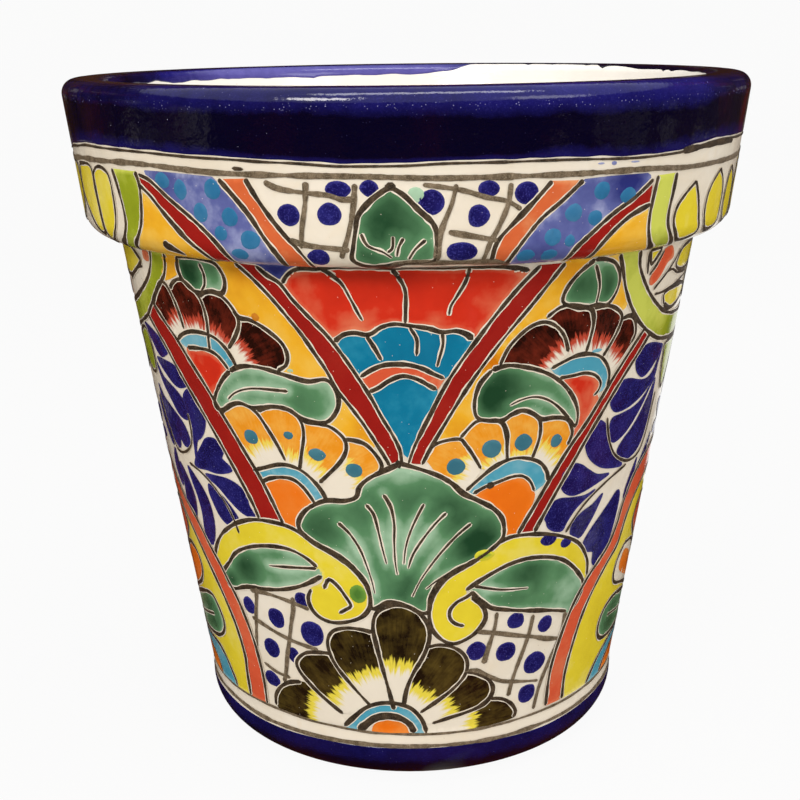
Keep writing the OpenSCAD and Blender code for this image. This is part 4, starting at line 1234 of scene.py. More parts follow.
pot_fields(
    "scroll_leaves", ["scroll_leaves"], green_enamel, [scroll_leaf_left, scroll_leaf_right],
    pools=[
        (-40, 99, 13, 0.9), (-46.5, 89, 8, 0.8), (-27, 101, 14, -0.3), (-34, 93, 9, -0.25),
        (27, 102, 15, 0.8), (36, 101, 10, 0.3), (39, 88, 11, -0.3), (17, 97, 7, -0.3), (23, 90, 9, 0.25)],
    veins=scroll_leaf_veins, cut=leaf_cut)
outlines(
    "scroll_outlines",
    [scroll_left[:21],
     [(-49, 93), (-46.2, 98.2), (-43.2, 104.4), (-39.6, 108.8), (-35, 112.2), (-30, 114), (-26, 113.7),
      (-22.6, 110.9), (-20.4, 107.4)],
     ([(-19.3, 97.3), (-18.7, 100), (-17.8, 102.3), (-16, 99.5), (-14.3, 94.5), (-13.3, 90.5),
       (-14.5, 88.5), (-16.2, 86.2)], 1.6),
     [(-19.5, 103.5), (-22.5, 99.5), (-25.6, 96.3), (-30, 93.2), (-35, 91.1), (-38.6, 90.3), (-42.2, 88.3),
      (-46, 85.4), (-48.6, 86.8)],
     scroll_right[:9],
     [(14, 111.5), (10, 108.6), (6.5, 103.4)] + scroll_right[13:24] + [(13.4, 94.4)],
     ([(13.8, 97), (12.3, 94.6), (10, 92.2), (8.6, 88.6), (8.7, 84.6), (10, 81.8), (12, 80.3)], 1.6),
     [(12, 97.8), (14.6, 101.2), (18.2, 105), (22, 107.8), (26.2, 108.8), (31, 107.4), (35.4, 104.2),
      (39, 99.2), (42, 93.4), (43.6, 89.6), (44.1, 86.4)],
     [(13.2, 97), (14.4, 94), (16.2, 90.8), (18.2, 87.6), (22, 85.4), (27, 83), (32, 80.8), (36, 78.6),
      (39.4, 76.4)],
     ([(44.2, 84.6), (42.6, 79.2), (40.3, 74.2)], 1.6)]
    + [(vein, 1.6, 0.45) for vein in scroll_leaf_veins])

# Foot flower: wide petals in brown over yellow flames, on a turquoise arc and an orange half disc.
# The brown is brushed outwards over the yellow, as on the upper flowers, and the foot's rings cut it off.
dark_entries = [
    ([(-4.4, 39), (-5.6, 50), (-7, 62), (-8, 72), (-8.6, 80), (-8, 86.5), (-6.4, 90), (-3.4, 92),
      (-0.6, 91), (2.2, 87.2), (3.9, 81), (4, 74), (2.6, 66), (0.4, 58), (-1.2, 50), (-2, 41.5)],
     [(-2, 41.5), (-4.4, 39)], 37.3),
    ([(-8.7, 78), (-11, 79.1), (-14.6, 79.3), (-18, 77), (-19.6, 72), (-19.4, 65.5), (-17.8, 58.5),
      (-14, 49), (-10.2, 40.5)],
     [(-10.2, 40.5), (-6.6, 42.2), (-5.6, 50), (-7, 62), (-8, 71), (-8.7, 78)],
     33.4),
    ([(-19, 65.3), (-22.5, 64.8), (-26, 63), (-28.6, 58), (-28.4, 53.5), (-26.3, 48.5), (-22.6, 42),
      (-17.4, 34.6)],
     [(-17.4, 34.6), (-14.2, 35.2), (-11.2, 39.8), (-14, 48.6), (-17.6, 57.8), (-19, 65.3)],
     32.3),
    ([(-28.2, 47.3), (-31.8, 45.3), (-35, 41), (-37.1, 35.5), (-37.6, 30)],
     [(-37.6, 30), (-37, 28.4), (-28, 27.6), (-18.5, 27.4), (-17, 30.5), (-19, 36), (-23, 42), (-26.3, 47),
      (-28.2, 47.3)],
     39.8),
    ([(3.6, 70.8), (6.2, 71.9), (9.6, 70.2), (12.2, 66), (13.2, 60.5), (12.4, 54.5), (9.6, 48.4), (6, 43),
      (2, 37.5)],
     [(2, 37.5), (0, 40), (-1.8, 42), (-0.8, 51), (1, 60), (2.8, 67), (3.6, 70.8)],
     26.7),
    ([(13, 57), (15.6, 55.2), (18.6, 51.6), (20.1, 46.5), (19.4, 41.6), (17, 38), (13, 35.6), (9, 33.8),
      (5, 31.6)],
     [(5, 31.6), (3.4, 31), (2, 36.5), (6, 42.6), (9.8, 48), (12.4, 53.5), (13, 57)],
     30.4),
    ([(19.6, 41.2), (22.8, 39.8), (25.6, 36), (27.1, 31.4), (26.6, 28.2)],
     [(26.6, 28.2), (20, 27.2), (10, 27), (4, 27), (3.4, 30.6), (9, 33.4), (13, 35.3), (17, 37.7),
      (19.6, 41.2)],
     37.8)]
brown_enamel = brushed_petal("brown_enamel", "#1f1409", "#52421a", "#ead548", 4.4)
petals("dark_petals", ["dark_petals"], brown_enamel, (-5, 27), dark_entries)
foot_arc = (
    [(-17.3, 28.2), (-14.8, 33.2), (-11.6, 38.9), (-8, 42), (-4.2, 42.4), (-0.4, 40), (2.2, 34.5),
     (3.4, 28.5), (3.5, 26.6)],
    [(-13.6, 26.6), (-11.2, 31), (-9, 34.2), (-6, 35.6), (-3, 34.6), (-0.6, 31.4), (0.5, 27)])
pot_fields("foot_arc", ["foot_arc"], sky_enamel, [band(*foot_arc)])
foot_disc = [
    (-10, 27), (-9.3, 30.5), (-7.5, 33), (-5.5, 33.5), (-3, 32), (-1, 29), (-0.7, 27.2), (-3, 26.6),
    (-6, 26.4), (-9, 26.5)]
pot_fields("foot_disc", ["foot_disc"], orange_enamel, [foot_disc])
outlines(
    "foot_flower_outlines",
    [line for line, root, reach in dark_entries] + [(foot_arc[0], 2.0), (foot_arc[1], 3.2)])

# Lattices: grey crossing lines on the bare white ground beside the foot flower, with a dot in each opening.
# The lines are thinned pigment from a nearly dry brush, and the cobalt dots are dabs of a loaded one.
dots_left = [(-41.5, 79.5, 2, 4.3), (-33, 77.5, 2.4, 5), (-23.6, 73.5, 3, 6.3), (-36, 60.8, 2.5, 4.8),
             (-29.4, 60.3, 1.7, 4), (-37.5, 44, 2.4, 4.2), (-25.2, 90, 1.8, 3.7)]
dots_right = [(24.7, 78.8, 2.3, 4.1), (33.1, 73.5, 2.1, 4.2), (15.2, 66.8, 2.5, 4.6), (22.8, 64, 2.6, 4.8),
              (31.2, 54.7, 3.3, 5.6), (30, 39.3, 2.6, 4.8)]
pot_fields("lattice_dots", ["lattice_dots"], stroke_cobalt, spots(dots_left + dots_right))
outlines("lattice_lines", [
    [(-40, 88), (-36, 89), (-32, 88.8), (-28, 87.8), (-23.5, 86)],
    [(-37.8, 91), (-38.5, 84), (-39.5, 76), (-40.5, 66), (-41.5, 57)],
    [(-27.5, 90.5), (-27.8, 84), (-28.8, 77), (-30, 68), (-31.2, 60), (-32.5, 50), (-33.5, 44.5)],
    [(-41, 74), (-38, 72.5), (-34.5, 70.5), (-30, 68.3), (-26, 67), (-22.3, 66)],
    [(-39.4, 51.5), (-36.5, 49.3), (-34, 48.3), (-31.3, 48)],
    [(19.6, 85), (19.3, 77), (18.2, 68.5), (17.2, 60)],
    [(29.2, 80), (28.7, 72), (27.5, 63), (26, 54), (25, 46.5), (24.5, 40.5)],
    [(39, 76.5), (39.2, 70), (38, 62), (35.5, 51), (33.7, 41), (32.7, 29.5)],
    [(15, 76.8), (20, 74.5), (25, 71.5), (30, 68.5), (34, 65.5), (38.3, 63.3)],
    [(12.5, 57), (15.5, 57), (18.5, 53.5), (22, 49.5), (27, 47), (33, 44.5)]],
    halo=0, width=2.0, pigment=thin_pigment)

# Side arches: a tall coral arch on each side of the pot, with leaves and petals about a half flower.
# Its inside is filled with lemon glaze, and the figures are laid over that ground in a second coat.
# A palmette of cobalt strokes stands on each arch.
side_turns = (90, 270)
second_coat = 0.12
under_coat = 0.06
arch_outer = [
    (-53.2, 29), (-53.4, 45), (-52.4, 57), (-50.2, 71), (-47.8, 81), (-44.4, 90), (-40.6, 96.3),
    (-37.4, 102), (-35.1, 110), (-34.2, 117), (-32.8, 123.5), (-30.2, 131), (-26, 136), (-20, 139),
    (-10, 141), (0, 141), (10, 139.5), (18, 133.5), (23.5, 124.5), (26.4, 119.5), (29.6, 116), (33, 110.6),
    (36.3, 102.8), (39.6, 95.4), (42.4, 87.3), (44.9, 79.6), (47.2, 68), (48.7, 56), (49.4, 42), (49.1, 29)]
arch_inner = [
    (-47.2, 29), (-47.6, 42), (-46.5, 55), (-44.4, 70), (-41.4, 81), (-37, 91), (-32.6, 98), (-31.2, 104),
    (-30, 110.5), (-27, 118), (-22.6, 123), (-16, 126.5), (-8, 128), (0, 128), (9, 126), (16, 120),
    (22, 113), (25.8, 107.6), (29, 102.2), (32.8, 94), (36.6, 84.2), (39.4, 75.2), (41.8, 64.4), (43.2, 51),
    (42.8, 42), (42.4, 29)]
pot_fields(
    "arch_rings", ["arch_rings"], coral_enamel, [band(arch_outer, arch_inner)],
    side_turns)
pot_fields(
    "arch_bands", ["arch_bands"], lemon_enamel,
    [[arch_inner, [arch_inner[-1], arch_inner[0]]]], side_turns)
tongue_left = [
    (-25.8, 69), (-30, 68.6), (-33.4, 65.6), (-35, 60), (-34.6, 54), (-32, 49.8), (-27, 48.2), (-18, 48),
    (-8, 48.6), (-4, 50.6), (-7, 56), (-15, 63.6)]
tongue_right = [
    (4, 50.8), (8, 49), (18, 49.2), (26, 50.4), (31, 52.6), (34.4, 57), (35.6, 62.5), (34.4, 69),
    (31.4, 74), (25, 71.5), (15, 64), (7, 56.5)]
tongue_veins = [
    [(-30, 60.5), (-24, 58.4), (-17, 55.4), (-10, 51.8)], [(30, 63), (24, 59.6), (17, 55.8), (10, 52)]]
pot_fields(
    "arch_leaves", ["arch_leaves"], green_enamel, [tongue_left, tongue_right],
    side_turns, second_coat, pools=[(-27, 58, 15, 0.8), (27, 62, 15, 0.8)],
    veins=tongue_veins, cut=leaf_cut)
flare_left = [
    (-26.7, 95), (-29.8, 90.6), (-31, 85.2), (-30.8, 80), (-28.4, 76), (-21, 71.4), (-12, 64.6), (-6, 60),
    (-5, 64), (-8.6, 74), (-14, 85), (-20, 92.8)]
flare_right = [
    (5, 64), (6, 60), (12, 64.8), (20, 71.6), (25, 77), (27.6, 83), (27.8, 89.4), (25, 94), (20, 93.6),
    (14, 85.4), (8.6, 74)]
flare_core = [
    (-27, 88.5), (-25.4, 90.6), (-20, 86.4), (-14.4, 77.6), (-11, 69.6), (-14, 70), (-20, 74.6),
    (-26, 80.6), (-27.8, 84.6)]
flare_top = [
    (0, 119), (4, 113), (4.8, 104), (3.4, 92), (1.6, 80), (0, 70), (-1.6, 80), (-3.4, 92), (-4.8, 104),
    (-4, 113)]
flare_between = [
    (-17.4, 114.6), (-21.6, 110.4), (-22.8, 103.6), (-19.6, 96.4), (-12.4, 86.6), (-7, 76), (-4, 69.6),
    (-4.4, 78), (-6.2, 92), (-8.2, 104), (-11.8, 111.6)]


def mirrored(points):
    """The same points on the other side of the figure's middle."""
    return [(-a, z) for a, z in points]


flares_between = [flare_between, mirrored(flare_between)]
pot_fields("arch_side_petals", [], coral_enamel, flares_between, side_turns, second_coat)
arch_dot_list = [(-10.4, 120.4, 1.7, 2.6), (9.6, 119.2, 1.6, 2.6)]
pot_fields("arch_dots", [], stroke_cobalt, spots(arch_dot_list), side_turns, second_coat)
pot_fields("arch_petal_ground", [], white_glaze, [flare_left], side_turns, under_coat)
pot_fields(
    "arch_petals", ["arch_petals"], orange_enamel, [flare_core, flare_right, flare_top],
    side_turns, second_coat)
half_outer = [
    (-36.2, 29), (-32.6, 37.6), (-27.6, 43.2), (-20, 46.2), (-8, 47), (0, 47), (8, 47), (20, 46.8),
    (27.6, 46.6), (31, 44), (33.4, 39), (35.6, 32), (35.8, 29)]
half_inner = [
    (-28, 29), (-26, 34), (-21, 38.6), (-12, 41.4), (0, 42), (12, 41.4), (21, 39), (25, 35), (26.4, 29)]
pot_fields(
    "arch_arcs", ["arch_arcs"], sky_enamel, [band(half_outer, half_inner)],
    side_turns, second_coat)
pot_fields(
    "arch_discs", ["arch_discs"], orange_enamel,
    [[half_inner, [half_inner[-1], half_inner[0]]]], side_turns, second_coat)
outlines(
    "arch_outlines",
    [arch_outer, arch_inner, closed(tongue_left), closed(tongue_right), closed(flare_left),
     closed(flare_right), closed(flare_top), half_outer, half_inner]
    + [closed(p) for p in flares_between] + [(vein, 1.3, 0.5) for vein in tongue_veins],
    side_turns, raised=second_coat)
palmette_drop = [
    (0, 172), (2.4, 166), (2.8, 160), (1.2, 153), (0, 148), (-1.2, 153), (-2.8, 160), (-2.4, 166)]
palmette_half = [
    [(2.4, 148), (5.8, 150.4), (9.6, 156), (11.6, 163), (10.6, 168), (7.6, 166), (5.2, 160), (3.2, 154)],
    [(4.6, 146), (9.4, 147), (14.6, 150), (18.4, 155.6), (19, 160), (16.4, 160.4), (12, 156.4), (7.8, 151)],
    [(7, 144.4), (12, 143.4), (17, 143.8), (19.8, 146), (19.6, 149), (16.6, 149.4), (12, 147.2)]]
pot_fields("side_palmettes", [], stroke_cobalt,
           [palmette_drop] + palmette_half + [mirrored(p) for p in palmette_half], side_turns)

# Side roundels: a lime hoop that hangs from the collar over each side arch, with petals inside and below.
# The hoop is one round stroke of a wide brush, and the petals are dabs of glaze in drawn outlines.
roundel_outer = [
    (-50.4, 237.6), (-48.8, 229.4), (-47.4, 222.4), (-45, 214.5), (-42, 207.6), (-38, 201.6), (-34, 197.2),
    (-30, 194.4), (-22, 192), (-10, 191.2), (0, 192), (12, 195.5), (20, 200), (24, 203), (27.8, 206.4),
    (31.4, 212), (34.2, 217.2), (38, 224), (40.2, 228.6), (41.2, 233.5), (41.4, 237.6)]
roundel_inner = [
    (-44.8, 237.6), (-44.2, 231), (-42, 224.2), (-38.8, 217.2), (-34.8, 211.2), (-30.6, 206.8),
    (-24, 203.6), (-12, 202), (0, 202.8), (12, 206.6), (19, 210.6), (24.8, 215), (29.6, 220.2),
    (33.2, 225.6), (35.6, 232.2), (36.2, 237.6)]
lime_enamel = enamel("lime_enamel", "#98a426", "#d0d45c", "#6d7a12", spread=1.3)
pot_fields(
    "roundel_rings", ["roundel_rings"], lime_enamel, [band(roundel_outer, roundel_inner)],
    side_turns, pools=[(-42, 215, 48, -0.55)])
roundel_petals = [
    [(31, 231.2), (28, 234.6), (24, 236.8), (8, 237.2), (4, 230), (10, 223), (20, 221.6), (26, 225.6)],
    [(-16, 234), (-25.6, 233.4), (-28.7, 227.4), (-27, 224), (-21, 222.4), (-14, 226)],
    [(-31.7, 210.2), (-32.3, 215.6), (-24.3, 216.5), (-18, 214), (-20, 209), (-27.3, 207)],
    [(-41.4, 236.8), (-37.6, 236.4), (-40.4, 230.6)]]
roundel_drops = [
    [(6, 190), (4, 183), (8, 176.5), (13, 176), (16, 183), (15, 192)],
    [(17, 195), (17.5, 186), (21, 179), (25, 180), (26, 189), (23.6, 199)],
    [(-8, 189), (-10, 182), (-6, 175.5), (-1, 175.5), (2, 182), (1, 190)],
    [(-13, 189.4), (-13.8, 181), (-17, 172), (-20.6, 167.8), (-23, 171.6), (-24.6, 179), (-25.2, 185.6),
     (-24.8, 190.4)]]
roundel_sun = [
    [(-12.4, 237.4), (-11.4, 231.4), (-8, 227.6), (-3.4, 227.6), (0, 231.4), (1, 237.4)],
    [(1, 237.4), (-5.6, 237.8), (-12.4, 237.4)]]
roundel_leaves = [
    [(-5.8, 223.6), (-2.6, 217.6), (-3.2, 210), (-5.8, 205.8), (-8.6, 210), (-9, 217.6)],
    [(1, 222.6), (6.6, 219), (11.6, 214), (11.4, 210.6), (5, 210.8), (0.4, 215.6)],
    [(-12, 222), (-10.8, 214), (-12.8, 208), (-15.6, 208.4), (-16.6, 214), (-14.8, 220)]]
roundel_strokes = [
    [(-33, 235.6), (-31.4, 231), (-33.8, 229.2), (-36.2, 224), (-39, 221.4), (-39.9, 224), (-38.5, 228.2),
     (-36.4, 234.6)],
    [(33, 236.6), (35.2, 235.6), (34.6, 232.6), (32.6, 233)]]
pot_fields("roundel_petals", ["roundel_petals"], lemon_enamel, roundel_petals, side_turns)
pot_fields("roundel_drops", [], lime_enamel, roundel_drops, side_turns)
pot_fields("roundel_suns", [], red_enamel, [roundel_sun], side_turns)
pot_fields(
    "roundel_leaves", [], green_enamel, roundel_leaves, side_turns,
    pools=[(-4, 214, 14, 0.4)])
pot_fields("roundel_strokes", [], coral_enamel, roundel_strokes, side_turns)
outlines("roundel_outlines", [roundel_outer, roundel_inner, roundel_sun[0]]
         + [closed(p) for p in roundel_petals + roundel_drops + roundel_leaves]
         + [([(-41.8, 236.4), (-41.7, 231.8), (-41.2, 226.6)], 1.6),
            ([(-36.2, 235), (-38.4, 229.8), (-40.5, 226)], 1.4),
            ([(-27.7, 233), (-29.7, 229.4), (-32.1, 226), (-35.1, 222.4), (-37.9, 219)], 1.4),
            ([(-32.9, 225), (-30.4, 225), (-26.5, 222.2), (-20, 221)], 1.2),
            ([(-37, 216.6), (-34, 216.4), (-29.9, 217), (-25.2, 218.2), (-15.8, 220)], 1.4),
            ([(31, 229), (28, 227.5), (24, 223.5), (20, 219.5)], 1.4)], side_turns)

# Collar: the same glazes on the thick collar, in slanting strips between the bold ring and the lower edge.
# The strokes run on over the rounded edge. A leaf and a small lattice with dots fill the white in front.
strip_left = (
    [(-51, 272.5), (-50.2, 266), (-49.5, 257), (-49.6, 250.5), (-51, 245), (-53.3, 241.4), (-54.2, 239.3)],
    [(-44.4, 272.5), (-43.8, 267), (-44.2, 259), (-45, 252), (-46.5, 246.5), (-48.5, 242.6), (-50, 239.3)])
strip_right = (
    [(39.8, 269.6), (39.3, 262), (39, 254), (39.3, 247.5), (40.5, 243), (42.8, 239.3)],
    [(44.2, 269.8), (43.9, 262), (43.5, 255), (43.8, 249.5), (45.3, 244.5), (48, 239.3)])
pot_fields(
    "lime_strips", ["lime_strips"], lime_enamel, [band(*strip_left), band(*strip_right)],
    pools=[(42, 256, 32, -0.5)])
collar_petal_list = [
    [(-58.8, 269), (-57, 271.8), (-54.6, 272.2), (-52.6, 269.5), (-52.2, 262), (-52.5, 254), (-53.5, 248),
     (-55.6, 243.2), (-57.6, 241.8), (-58.4, 250), (-58.8, 260)],
    [(-66.5, 271.6), (-59.8, 271.8), (-59.4, 262), (-59, 252), (-58.7, 245), (-61, 244.4), (-64.5, 250),
     (-67, 256.5), (-67.5, 264)],
    [(50.1, 265.2), (47.6, 261.2), (45.6, 256.5), (45.1, 251), (46, 246.4), (48.4, 242), (53.4, 243.4),
     (52.8, 250.5), (51.6, 258.6)],
    [(59.1, 268), (56.3, 263), (54.9, 257), (55, 249.6), (56.8, 243.8), (61.2, 244.6), (62.2, 255),
     (61.3, 262.6)],
    [(66, 267.8), (69, 262), (69.6, 254), (69, 247), (66, 244.4), (64.2, 249), (64, 256), (64.8, 263)],
    [(73.5, 270.5), (76.4, 266), (77.6, 256), (77, 247.5), (74, 244.5), (71.8, 249), (71.4, 257),
     (72.2, 265)],
    [(-78, 271.5), (-70, 271.5), (-68.4, 266), (-68.6, 258), (-70.6, 251), (-74.4, 246), (-78, 247.6),
     (-79, 256), (-78.8, 265)],
    [(83, 271), (86, 266), (87.2, 256), (86.6, 247.5), (83.4, 244.5), (81, 249), (80.4, 257), (81.2, 266)],
    [(93, 271), (96, 266), (97.2, 256), (96.6, 247.5), (93.4, 244.5), (90.8, 249), (90.2, 257), (91, 266)]]
pot_fields("collar_petals", ["collar_petals"], lemon_enamel, collar_petal_list)
panel_left = [
    [(-44, 264.6), (-42, 262.6), (-39, 256.4), (-35.6, 249), (-32.6, 242.6), (-31.7, 239.3)],
    [(-31.7, 239.3), (-40, 239.3), (-49.6, 239.3)],
    [(-49.6, 239.3), (-47.2, 243.6), (-45.6, 248), (-44.8, 253), (-44.2, 259), (-44, 264.6)]]
panel_right = [
    [(38.6, 257.6), (36, 255.4), (32.6, 250.3), (30, 244.6), (29.2, 239.3)],
    [(29.2, 239.3), (35, 239.3), (42.6, 239.3)], [(42.6, 239.3), (40.4, 243), (39.2, 248), (38.6, 257.6)]]
pot_fields("collar_panels", ["collar_panels"], yellow_enamel, [panel_left, panel_right])
collar_stripe_left = (
    [(-43.6, 271.5), (-41, 269.5), (-37.5, 263.5), (-33, 256), (-29.5, 248.5), (-28, 243.5),
     (-27.3, 239.3)],
    [(-43.8, 267.4), (-41.5, 263.5), (-38.8, 257), (-35.5, 249.5), (-32.5, 243.5), (-31.3, 239.3)])
collar_stripe_right = (
    [(38.8, 268.3), (35.5, 262.5), (31.5, 257), (28, 250.5), (25.5, 245), (24.6, 239.3)],
    [(38.8, 258.8), (35, 255.5), (32, 250.5), (29.8, 245), (28.9, 239.3)])
pot_fields("collar_stripes", ["collar_stripes"], dark_red_enamel,
           [band(*collar_stripe_left), band(*collar_stripe_right)])
violet_left = [
    [(-42, 273), (-36, 273), (-28.6, 272.4)],
    [(-28.6, 272.4), (-25.8, 265.6), (-23.4, 258.4), (-21.3, 250.6), (-19.6, 244.2), (-19, 239.3)],
    [(-19, 239.3), (-23, 239.3), (-27.2, 239.3)],
    [(-27.2, 239.3), (-29.2, 247.6), (-32.6, 255), (-37, 262.6), (-40.8, 269), (-42, 273)]]
violet_right = [
    [(25.9, 270.4), (31, 270.8), (37.4, 270.6)],
    [(37.4, 270.6), (38.2, 268.4), (35, 262.2), (31, 256.4), (27.6, 249.8), (25.2, 244.4), (24.4, 239.3)],
    [(24.4, 239.3), (20, 239.3), (14.8, 239.3)],
    [(14.8, 239.3), (15.9, 244.4), (17.7, 250.8), (19.9, 257.3), (22.9, 263.3), (25.9, 270.4)]]
pot_fields(
    "violet_panels", ["violet_panels"], violet_enamel, [violet_left, violet_right],
    pools=[
        (-38, 270, 12, 0.5), (-30, 258, 9, -0.1), (-24, 246, 12, -0.35), (34, 268, 14, 1.1),
        (26, 266, 9, 0.5), (30, 256, 10, -0.4), (20, 246, 12, 0.4), (24, 256, 10, 0.3)])
violet_dots = [
    (-38.3, 270, 1.6, 3), (-34.8, 267, 1.3, 4), (-31.4, 259, 1.3, 3.8), (-28.8, 268, 1.5, 3.8),
    (-26.3, 258, 1.4, 3.8), (-28.2, 251.7, 1.2, 3), (-23.3, 249.8, 1.6, 3.7), (-25.4, 244, 1.4, 2.3),
    (29, 266, 1.4, 3.5), (34, 263, 1.6, 3.3), (24.5, 258.5, 1.5, 3.5), (28.2, 256, 1.3, 3),
    (21.4, 250, 1.4, 3.5), (24.2, 248, 0.9, 2.5), (17.5, 243.4, 1.4, 2.6), (21.2, 243, 1.4, 2.4)]
dot_enamel = enamel("dot_enamel", "#2f7099", "#5788ab", "#245685", speck=0.4, fall=0.1)
pot_fields("violet_panel_dots", [], dot_enamel, spots(violet_dots), raised=second_coat)
coral_left = (
    [(-27.5, 272), (-25.3, 266), (-23, 259), (-21, 251), (-19.2, 244.5), (-18.5, 239.3)],
    [(-23.1, 272.6), (-21.5, 265.4), (-19.5, 258), (-17.6, 252), (-16, 247.6), (-14.8, 243.2),
     (-14.1, 239.3)])
coral_right = ([(20.6, 270.8), (18, 263.5), (15.5, 257), (13.3, 251), (12.5, 247), (12.3, 242.4)],
               [(25.6, 270.4), (22.5, 263.5), (19.5, 257.5), (17.3, 251), (15.5, 244.6), (14.7, 239.6)])
brushed_coral = enamel("brushed_coral", "#d7683a", "#dd9160", "#c04f26", spread=1.3, mottle=0.8)
pot_fields(
    "coral_stripes", ["coral_stripes"], brushed_coral,
    [band(*coral_left), band(*coral_right)])
collar_leaf = [
    (-2.2, 270.3), (-0.4, 267.3), (1.6, 262), (3.6, 257), (4.2, 252), (4.2, 246), (3.6, 242.6), (0, 242.2),
    (-3, 240.8), (-6.2, 240.9), (-7.9, 243.5), (-7.7, 248), (-7.3, 254), (-6.8, 260), (-5.2, 265),
    (-3.3, 268.8)]
collar_leaf_veins = [
    [(-6.5, 253.4), (-5.6, 249), (-3.5, 246.7), (-2.2, 244.3)], [(-2, 252.5), (-2.1, 248.2), (-2.8, 246.5)],
    [(-0.5, 251.8), (-1.2, 248.5), (-1.5, 244.8)], [(2.6, 251), (1.1, 247.5), (0.2, 243.7)]]
pot_fields(
    "collar_leaf", ["collar_leaf"], green_enamel, [collar_leaf],
    pools=[(-2, 258, 24, 0.75), (-4, 256, 10, 0.2), (-6, 246, 9, 0.5), (2.5, 246, 7, 0.35)],
    veins=collar_leaf_veins, cut=leaf_cut)
collar_dot_list = [
    (-9.5, 269.3, 1.8, 3.3), (-5.2, 269.8, 1.3, 3), (-16.9, 259.8, 1.7, 4.3), (-10.9, 260.3, 1.7, 4.2),
    (-12.9, 244, 1.7, 3.2), (3.4, 264.5, 1.9, 4.7), (11.4, 269, 1.6, 3), (16.8, 267, 1.8, 4.3),
    (10.1, 259.3, 1.6, 4.2), (7.8, 246.2, 2.3, 3.7)]
pot_fields("collar_dots", ["collar_dots"], stroke_cobalt, spots(collar_dot_list))
outlines(
    "collar_outlines",
    [*strip_left, *strip_right, *collar_stripe_left, *collar_stripe_right, *coral_left, *coral_right,
     closed(collar_leaf),
     ([(-40.3, 245.6), (-39.6, 244.4), (-38.4, 243.4), (-36.6, 241.4)], 4.8, 0.2)]
    + [(vein, 1.2, 0.6) for vein in collar_leaf_veins] + [(closed(p), 1.6) for p in collar_petal_list],
    width=1.8, step=fine_step)
outlines("collar_lattice", [
    [(-20.2, 271.7), (-18, 269.3), (-14, 268), (-11, 267.3), (-9, 265.8), (-7.2, 266)],
    [(-14, 272), (-14.3, 264), (-15, 255), (-15.3, 247.5)],
    [(-7.1, 271.5), (-7.5, 262), (-8.3, 253), (-9.5, 244)],
    [(-17, 250.5), (-14.5, 248.8), (-11.5, 248), (-8.2, 247.2)],
    [(2.2, 271), (5, 270), (8, 268.5), (11, 266), (14, 264.3), (16.2, 261)],
    [(6.8, 271), (6.2, 264), (5, 256), (4.4, 250), (4.2, 243)],
    [(14.5, 270.8), (14.2, 263), (13, 255), (11.8, 249), (11, 242.5)],
    [(5.8, 253.7), (8.5, 252.3), (12, 250.5), (13, 249.8)],
    [(-3, 240.5), (0, 242.3), (5, 242), (10, 241.8), (13, 241.5), (15.5, 239.8)]],
    halo=0, width=2.0, pigment=thin_pigment, step=fine_step)

# Stray marks: drops, runs and thick knots that a full brush leaves on the finished painting.
# They are the same glazes and pigments, on the front only, and nobody wipes them off before the firing.
drop_enamel = enamel("drop_enamel", "#bf6a18", "#d68a2c", "#a85510")
pot_fields(
    "orange_drop", [], drop_enamel, [spot(-27.7, 216.3, 0.9, 1.9)],
    once, second_coat)
run_enamel = enamel("run_enamel", "#6f9a3e", "#d6cc38", "#47742f", shore=2.6, fall=0.8)
pot_fields(
    "green_runs", [], run_enamel, [spot(-11.5, 96.5, 2, 4.5), spot(15.6, 113.6, 2.4, 2.8)],
    once, second_coat, pools=[(-12, 96.5, 12, 0.9)])
pot_fields(
    "green_stains", [], green_enamel,
    [spot(1.3, 267.3, 1.2, 2.9), spot(-21.8, 195.2, 0.8, 1.2)], once,
    pools=[(1.3, 267.3, 9, -0.6), (-21.8, 195.2, 9, -0.6)])
pot_fields("sky_runs", [], sky_enamel, [spot(37.2, 198.2, 1.5, 1.1)], once, under_coat)
pot_fields(
    "violet_stains", [], violet_enamel,
    [spot(30.7, 275.8, 0.5, 0.8), spot(28.4, 276, 0.6, 0.4), spot(34.6, 275.7, 0.9, 0.35)],
    once, pools=[(28.4, 276, 4, -1.0), (34.6, 275.7, 4, -1.0)])
pot_fields(
    "cobalt_runs", [], stroke_cobalt,
    [spot(31.1, 115.8, 2.3, 3.2), spot(36.1, 112, 1.7, 2.6)], once, second_coat)
outlines("brush_knots", [
    ([(-3, 270.6), (-1.5, 270.4)], 2.6), ([(-2.8, 157), (-1.4, 157.6)], 3.4),
    ([(15.2, 145.3), (17, 146.4)], 3)], once, halo=0)

# Stage: a pale sheet of matt paper that runs back and up behind the pot, and soft lamps at a plain level.
# The sheet is lit so evenly that it looks white, and it still throws a little grey light on the pot.
sheet_width = 6.0
sheet_front = -3.0
sheet_back = 2.2
sheet_height = 3.5
sheet_glow = 0.94
bend = 0.8
sheet_profile = [(sheet_front, 0.0), (sheet_back - bend, 0.0)]
sheet_profile += [
    (sheet_back - bend + bend * math.sin(a), bend - bend * math.cos(a))
    for a in (math.pi / 2 * i / round_steps for i in range(1, round_steps + 1))]
sheet_profile += [(sheet_back, sheet_height)]


def glowing(f, share, under, glow):
    """Closes a finish of the studio that shines in part."""
    light = f.node("Emission", {}, {"Color": glow, "Strength": 1.0}, "Emission")
    mixed = f.node("MixShader", {}, {"Fac": share, "Shader": under}, "Shader")
    f.tree.links.new(light.socket, mixed.socket.node.inputs[2])
    f.node("OutputMaterial", {}, {"Surface": mixed})
    return f.material


